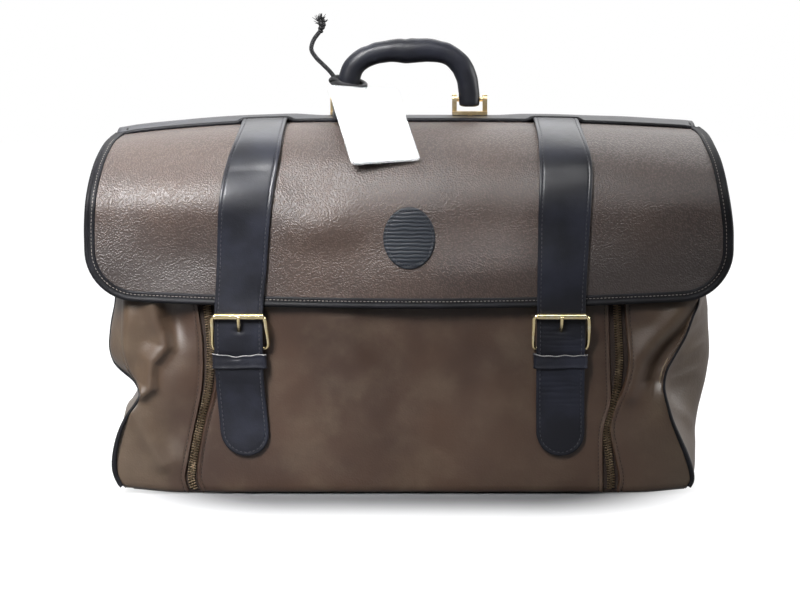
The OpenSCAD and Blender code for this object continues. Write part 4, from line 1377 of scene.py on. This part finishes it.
def end_reach(side, y, z):
    """How far an end panel stands out at a depth and height: pinched in at its front edge."""
    front, far = PIPING_X[side](z), BULGE_X[side](z)
    back = side * (247.5 + uneven(y, side * 5, z, 60, 1.5))
    x = front + (far - front) * smooth((y + FRONT_Y) / BULGE_DEPTH[side](z))
    x += (back - x) * smooth((y + 30) / 105)
    ripple = uneven(y * 1.2, side * 11, z * 0.6, 34, 2.0) + uneven(y, side * 17, z, 15, 0.4)
    ripple += sum(fold(y, z, line, high, 3.5, 6) for line, high in END_CREASES[side])
    return x + side * ripple * smooth((y + FRONT_Y) / 30) * smooth((FRONT_Y - y) / 25)


def corner_bend(side, z):
    """Radius of the bend where the front leather turns the corner."""
    return 1.4 + (CORNER_BEND - 1.4) * smooth((DRAGGED[side](z) - 1.5) / 20)


def corner_x(side, z):
    """Where the front leather has turned its corner."""
    return end_reach(side, -FRONT_Y + corner_bend(side, z), z)


def end_top(y):
    """Height of the end panels' outline at a depth."""
    front = SHOULDER_Z + FRONT_RISE * math.sqrt(max(1 - (y / FRONT_Y)**2, 0))
    back = SHOULDER_Z + TOP_RISE * math.sqrt(max(1 - (y / FRONT_Y)**2, 0))
    return front + (back - front) * smooth((y + SEAM_Y + 4) / 12)


def end_place(side, y, z, inward):
    """A point of an end panel by its depth and height."""
    spot = settle(Vector((end_reach(side, y, z) - side * inward, y, z)))
    spot.z += corner_lift(spot.x, y, z)
    return spot


def end_spot(side, turn, share, inward):
    """A point of an end panel, by its turn from front to back and its share of the height."""
    y = (FRONT_Y - inward) * math.sin(turn)
    z = 2.6 + share * (end_top(FRONT_Y * math.sin(turn)) - inward - 2.6)
    if inward:
        z = max(z, 9)
    y += DRAGGED[side](z) * (1 - smooth((y + FRONT_Y) / 100))
    foot = 3.0 * math.exp(-(z / 5)**2)
    return end_place(side, y, z, inward + foot)


def make_end(side):
    """An end panel: one soft sheet, bulged in the middle and pinched at its front edge."""
    name = SIDE_NAME[side]
    bm = grid(span(-math.pi / 2, math.pi / 2, 64), span(0, 1, 80),
              lambda turn, share: end_spot(side, turn, share, 0))
    keep_sheet("end_panel_" + name, bm, (side, 0, 0), 2, BAG_LEATHER, "bag", name + "_gusset")


def piping_front(side):
    """The piping's line up the front, round the corner where the leather has been dragged."""
    line = []
    for z in span(3.0, 236, 110):
        spot = end_place(side, -FRONT_Y + DRAGGED[side](z) - 1.2, z, -0.5)
        line.append(spot + Vector((0, -0.4, 0)))
    for z in reversed(heights_down(FRONT_LINE, 240)[:-2]):
        line.append(on_line(FRONT_LINE, PIPING_X[side](z) + side * 0.4, z, 0.5))
    return line


# Thickness of the end piping along its way up: fuller near the foot, where it stands free
PIPING_THICK = Curve((0, 1.9), (0.05, 2.3), (0.12, 2.1), (0.2, 1.5), (0.28, 1.15), (0.4, 1.05), (1, 1.05))


def make_piping(side):
    """The thin black piping along an end: up the front to the flap's seam, and over the back."""
    name = "piping_" + SIDE_NAME[side]
    front = tube(piping_front(side), PIPING_THICK, (1, 0, 0), sides=10)
    back = []
    for y in span(-24, 30, 18):
        back.append(settle(Vector((side * 247.6, y, end_top(y) - 0.2))))
    for z in heights_down(BACK_LINE, 12)[2:]:
        back.append(on_line(BACK_LINE, side * 247.9, z, 0.5))
    back.append(Vector((side * 246.6, 102, 3.4)))
    bm = joined([front, tube(back, 1.3, (1, 0, 0), sides=10)])
    keep(name + "_cord", bm, BINDING_LEATHER, "bag", name)


def make_top_piping():
    """The corded seams on each side of the top panel; the front one rises over the straps."""
    cords = []
    for way, start, over_straps in ((-1, -257, 2.6), (1, -253, 0)):
        line = []
        for x in span(start, 252, 190):
            rise = -1.6 * smooth((abs(x) - 240) / 18)
            for side in (LEFT, RIGHT):
                rise += over_straps * smooth((STRAP_HALF + 5 - abs(x - STRAP_X[side](320))) / 7)
            line.append(settle(Vector((x, way * SEAM_Y, SEAM_Z + 0.5 + rise))))
        cords.append(tube(line, 2.1, (0, 1, 0), sides=10))
    keep("top_piping_cords", joined(cords), BINDING_LEATHER, "bag", "top_piping")


def make_back():
    """The back: leather over the back shoulder and down, sagging a little, with its lining."""
    heights = heights_down(BACK_LINE, 3.8)

    def spot(x, z, up):
        free = smooth((247 - abs(x)) / 30) * smooth(z / 30) * smooth((310 - z) / 30)
        sag = 2.6 * math.exp(-((z - 90) / 70)**2) + uneven(x, 40, z, 85, 2.6) + uneven(x, 50, z, 26, 0.5)
        return on_line(BACK_LINE, x, z, up + free * sag)

    bm = grid(span(-247, 247, 100), heights, lambda x, z: spot(x, z, 0))
    keep_sheet("back_panel_leather", bm, BEHIND, 2.2, BAG_LEATHER, "bag", "back_panel")
    bm = grid(span(-243, 243, 60), [z for z in heights if z > 9], lambda x, z: spot(x, z, -3.2))
    keep_sheet("back_lining_sheet", bm, BEHIND, 0.9, LINING, "bag", "back_lining")


def make_top():
    """The top panel between its two seams, slightly sunk, with its stiffener below."""
    def spot(x, y, up):
        z = SHOULDER_Z + TOP_RISE * math.sqrt(1 - (y / FRONT_Y)**2)
        free = smooth((abs(x) - 74) / 30) * (1 - (y / 26.5)**2)
        return settle(Vector((x, y, z + up + free * (1.6 + uneven(x, y * 2, 60, 60, 0.8)))))

    bm = grid(span(-256.5, 251.5, 110), span(-26.4, 26.4, 14),
              lambda x, y: spot(x, y, -0.6 * smooth((abs(x) - 240) / 18)))
    keep_sheet("top_panel_leather", bm, UPWARD, 2.2, BLACK_LEATHER, "bag", "top_panel")
    bm = grid(span(-243, 243, 80), span(-23, 23, 8), lambda x, y: spot(x, y, -3.4))
    keep_sheet("top_stiffener_sheet", bm, UPWARD, 2.4, BOARD, "bag", "top_stiffener")


def make_bottom():
    """The bottom panel, a flat sheet with its edges turned up to meet the sides."""
    def spot(u, v):
        y = 100.4 * v
        x = (242 + 3.5 * smooth((y + 96) / 24) * smooth((100 - y) / 12)) * u
        z = 0.1 + 2.6 * smooth((abs(v) - 0.955) / 0.045) + 2.6 * smooth((abs(u) - 0.98) / 0.02)
        return Vector((x, y, min(z, 3.4) + corner_lift(x, y, 0)))

    ends = [-1, -0.995, -0.99, -0.985, -0.98] + span(-0.97, 0.97, 60) + [0.98, 0.985, 0.99, 0.995, 1]
    deep = [-1, -0.99, -0.98, -0.97, -0.955] + span(-0.94, 0.94, 30) + [0.955, 0.97, 0.98, 0.99, 1]
    keep_sheet("bottom_panel_leather", grid(ends, deep, spot), DOWNWARD, 1.6, BAG_LEATHER, "bag",
               "bottom_panel")
    bm = grid(span(-234, 234, 20), span(-94, 94, 12), lambda x, y: Vector((x, y, 7.2)))
    keep_sheet("bottom_lining_sheet", bm, UPWARD, 0.9, LINING, "bag", "bottom_lining")


# The base board: length, width and thickness, the height of its middle, and its corners' radius
BOARD_SIZE = (2 * 236, 2 * 95, 2.4)
BOARD_Z, BOARD_CORNER = 4.7, 14


def make_base_board():
    """The board in the base, its corners cut round so that they stay inside the soft leather."""
    bm = bmesh.new()
    size = Matrix.Diagonal([w * MM for w in BOARD_SIZE] + [1])
    bmesh.ops.create_cube(bm, size=1, matrix=Matrix.Translation((0, 0, BOARD_Z * MM)) @ size)
    upright = [e for e in bm.edges if abs(e.verts[0].co.z - e.verts[1].co.z) > MM]
    bmesh.ops.bevel(bm, geom=upright, affect="EDGES", offset=BOARD_CORNER * MM, segments=6, profile=0.5)
    keep("base_board_sheet", bm, BOARD, "bag", "base_board")


def make_side_linings():
    """The lining of both ends, one piece that stands for the one node."""
    parts = []
    for side in (LEFT, RIGHT):
        part = grid(span(-math.pi / 2, math.pi / 2, 40), span(0.03, 1, 50),
                    lambda turn, share: end_spot(side, turn, share, 3.4))
        parts.append(face_out(part, (side, 0, 0)))
    thicken(keep("end_linings", joined(parts), LINING, "bag", "side_linings"), 0.8)


# Handle and tag

# The grip's middle line and radius, as (x, z, radius)
GRIP = [
    (-54, 330.6, 8.9), (-54.1, 334, 9.5), (-54.2, 342, 9.7), (-53.4, 353, 9.9), (-49.5, 363.8, 9.8),
    (-41, 371.6, 9.5), (-30, 376.2, 9.6), (-15, 378.8, 10.2), (-1, 378.6, 11.1), (16, 379.3, 10.6),
    (33, 376.4, 9.6), (44.6, 368, 9.6), (51, 356, 9.5), (53.4, 343, 9.4), (53.8, 334, 9.3),
    (53.8, 330.6, 8.8),
]


# The rounded ends of its legs, as (height over the very end, share of the radius)
GRIP_ENDS = [(0.0, 0.55), (0.5, 0.82), (1.1, 0.95)]


def grip_rings():
    """The grip's rings as (middle, direction to its outer side, radius); its legs end level."""
    line = through(GRIP, 8)
    head, tail = line[0], line[-1]
    line = [Vector((head.x, head.y - 1.4 + d, head.z * k)) for d, k in GRIP_ENDS] + line
    line += [Vector((tail.x, tail.y - 1.4 + d, tail.z * k)) for d, k in reversed(GRIP_ENDS)]
    points = [Vector((p.x, 0, p.y)) for p in line]
    ways = [way_at(points, i) for i in range(len(points))]
    ways[:5] = [Vector(UPWARD)] * 5
    ways[-5:] = [Vector(DOWNWARD)] * 5
    return [(p, way.cross(Vector((0, 1, 0))), q.z) for p, way, q in zip(points, ways, line)]


def make_handle():
    """The padded leather grip, fuller in the middle, with a seam under it."""
    rings = grip_rings()

    def place(turn, row):
        p, out, r = rings[row]
        seam = 0.9 * math.exp(-((turn - math.pi) / 0.16)**2)
        ripple = 0.25 * noise.noise(Vector((p.x / 7, math.cos(turn) * 2, p.z / 7)))
        under = 0.22 * math.exp(-((turn - math.pi) / 0.9)**2) * math.sin(p.x / 2.4 + math.sin(p.x / 5))
        r = r - seam + ripple + under
        return p + out * (-r * math.cos(turn)) + Vector((0, -0.95 * r * math.sin(turn), 0))

    bm = close_up(grid(turns(40), range(len(rings)), place))
    grip = keep("handle_grip_leather", bm, GRIP_LEATHER, "handle", "handle_grip", sharp=60)


def on_tag(x, out, z):
    """A point of the tag, drawn upright below its hole, then laid over the shoulder."""
    p = Matrix.Rotation(math.radians(TAG_ROLL), 3, "Z") @ Vector((x, out, z))
    p = Matrix.Rotation(math.radians(-TAG_TURN), 3, "Y") @ p
    p = Matrix.Rotation(math.radians(TAG_SLOPE - 90), 3, "X") @ p
    return p + Vector(TAG_AT)


# Front and back of each film of the sleeve
FILMS = [(-0.95, -0.5), (0.5, 0.95)]


def tag_plate(half, foot, head, corner, front, back, slant=0.0):
    """A thin plate with rounded corners, its head cut lower toward the right by the slant."""
    rows = [(foot + corner * (1 - math.cos(t)), corner * (1 - math.sin(t)))
            for t in span(0, math.pi / 2, 8)]
    rows += [(z, 0) for z in span(foot + corner, head - corner, 24)[1:]]
    rows += [(head - corner + corner * math.sin(t), corner * (1 - math.cos(t)))
             for t in span(0, math.pi / 2, 8)[1:]]

    def spot(column, row):
        share, on_front = column
        z, inset = row
        z -= slant * (share + 1) / 2 * smooth((z - foot) / (head - foot) * 2 - 1)
        return on_tag(share * (half - inset), front if on_front else back, z)

    columns = [(s, True) for s in span(-1, 1, 16)] + [(s, False) for s in span(1, -1, 16)]
    return close_up(grid(columns + [(-1, True)], rows, spot))


def make_tag():
    """The tag: a blank card between the two films of a clear sleeve."""
    card = tag_plate(half=27.5, foot=-100.2, head=-10.6, corner=2.5, front=-0.25, back=0.25)
    keep("tag_card_sheet", card, CARD, "tag", "tag_card", sharp=40)
    films = [tag_plate(half=30.0, foot=-102.6, head=5.4, corner=4.5, front=front, back=back, slant=11)
             for front, back in FILMS]
    keep("tag_sleeve_film", joined(films), FILM, "tag", "tag_sleeve", sharp=40)


# Studio

WHITE, NO_LIGHT = (1, 1, 1, 1), (0, 0, 0, 1)
# The floor's dark paper and how far it shows the bag's shadow: how far the bag's middle reaches, in metres,
# and how far past it the paper starts to glow white and glows fully.
# Inside that reach the glow is held back by distance alone, a painted shadow round the bag, and the real
# shadow falls on the dark paper as well.
PAPER = (0.13, 0.13, 0.135, 1)
BAG_REACH = {"X": 0.1, "Y": 0.05}
PAINTED_SHADOW_NEAR, PAINTED_SHADOW_FAR = 0.065, 0.175


def make_floor():
    """Paper that shows the bag's shadow near it, under a painted shadow set by distance, and fades to plain
    white a step away.
    """
    bm = bmesh.new()
    bmesh.ops.create_grid(bm, x_segments=1, y_segments=1, size=6)
    mesh = bpy.data.meshes.new("floor")
    bm.to_mesh(mesh)
    bm.free()
    paper = Finish("floor", "floor_paper", Roughness=0.9, Specular_IOR_Level=0.0)
    paper.set("Base Color", PAPER)
    beside, before = [(abs(paper.axis(axis)) - reach).larger(0.0) for axis, reach in BAG_REACH.items()]
    away = (beside * beside + before * before) ** 0.5
    camera, shiny, clear = paper.seen_by()
    shine = shiny * paper.step(paper.axis("Y"), -0.9, -0.5, 0, 0.25)
    glow = paper.step(away, PAINTED_SHADOW_NEAR, PAINTED_SHADOW_FAR) * shine.larger(camera.larger(clear))
    paper.set("Emission Color", paper.mix(NO_LIGHT, WHITE, glow))
    paper.set("Emission Strength", 1.0)
    mesh.materials.append(paper.material)
    floor = bpy.data.objects.new("floor", mesh)
    bpy.context.scene.collection.objects.link(floor)
    floor.location = (0, 0, -0.0005)


# Lamps of the studio: place, what it points at, width, height, power and how wide it spreads
LAMPS = {
    "lamp_overhead": ((0.0, 1.05, 1.75), (0.0, 0.0, 0.3), 2.4, 0.9, 34, 180),
    "lamp_window": ((-0.72, -1.3, 1.5), (-0.28, -0.05, 0.3), 0.5, 1.3, 9.6, 34),
    "lamp_front": ((0.1, -1.3, 1.6), (0.0, 0.0, 0.24), 1.8, 0.4, 1.2, 60),
    "lamp_right": ((1.9, -0.15, 0.75), (0.2, 0.0, 0.15), 0.7, 0.9, 28, 180),
}


def make_lamps():
    """The studio's lamps, each a soft rectangle."""
    for name, (place, aim, width, height, power, spread) in LAMPS.items():
        data = bpy.data.lights.new(name, "AREA")
        data.shape = "RECTANGLE"
        data.size, data.size_y = width, height
        data.energy = power
        data.spread = math.radians(spread)
        lamp = bpy.data.objects.new(name, data)
        lamp.location = place
        lamp.rotation_euler = (Vector(aim) - Vector(place)).to_track_quat("-Z", "Y").to_euler()
        bpy.context.scene.collection.objects.link(lamp)


# How bright the room is in front and behind, and its tone
ROOM_FRONT, ROOM_BACK = 0.08, 1.0
ROOM_TONE = (0.97, 0.985, 1.0, 1)


def make_world():
    """White to the camera; to the bag a room that is bright behind and above and dim in front."""
    world = bpy.data.worlds.new("world")
    world.use_nodes = True
    bpy.context.scene.world = world
    world.node_tree.nodes.clear()
    sky = Nodes(world.node_tree, "Generated")
    bright = sky.step(sky.axis("Y"), 0.0, 0.7, ROOM_FRONT, ROOM_BACK)
    camera, shiny, clear = sky.seen_by()
    plain = (shiny * bright).larger(camera.larger(clear))
    room = sky.add("ShaderNodeBackground", {}, {"Color": ROOM_TONE, "Strength": bright})
    blank = sky.add("ShaderNodeBackground", {}, {"Color": WHITE, "Strength": 1.0})
    both = sky.add("ShaderNodeMixShader", {}, [plain, room, blank])
    sky.add("ShaderNodeOutputWorld", {}, [both])


add_camera()
make_cord_pieces()
refinish_carried()
make_flap()
make_patch()
for end in (LEFT, RIGHT):
    make_strap(end)
    make_keeper(end)
    make_buckle(end)
    make_chape(end)
    make_front_side(end)
    make_zip(end)
    make_end(end)
    make_piping(end)
make_front_panel()
make_top_piping()
make_back()
make_top()
make_bottom()
make_base_board()
make_side_linings()
make_handle()
make_tag()
make_floor()
make_lamps()
make_world()
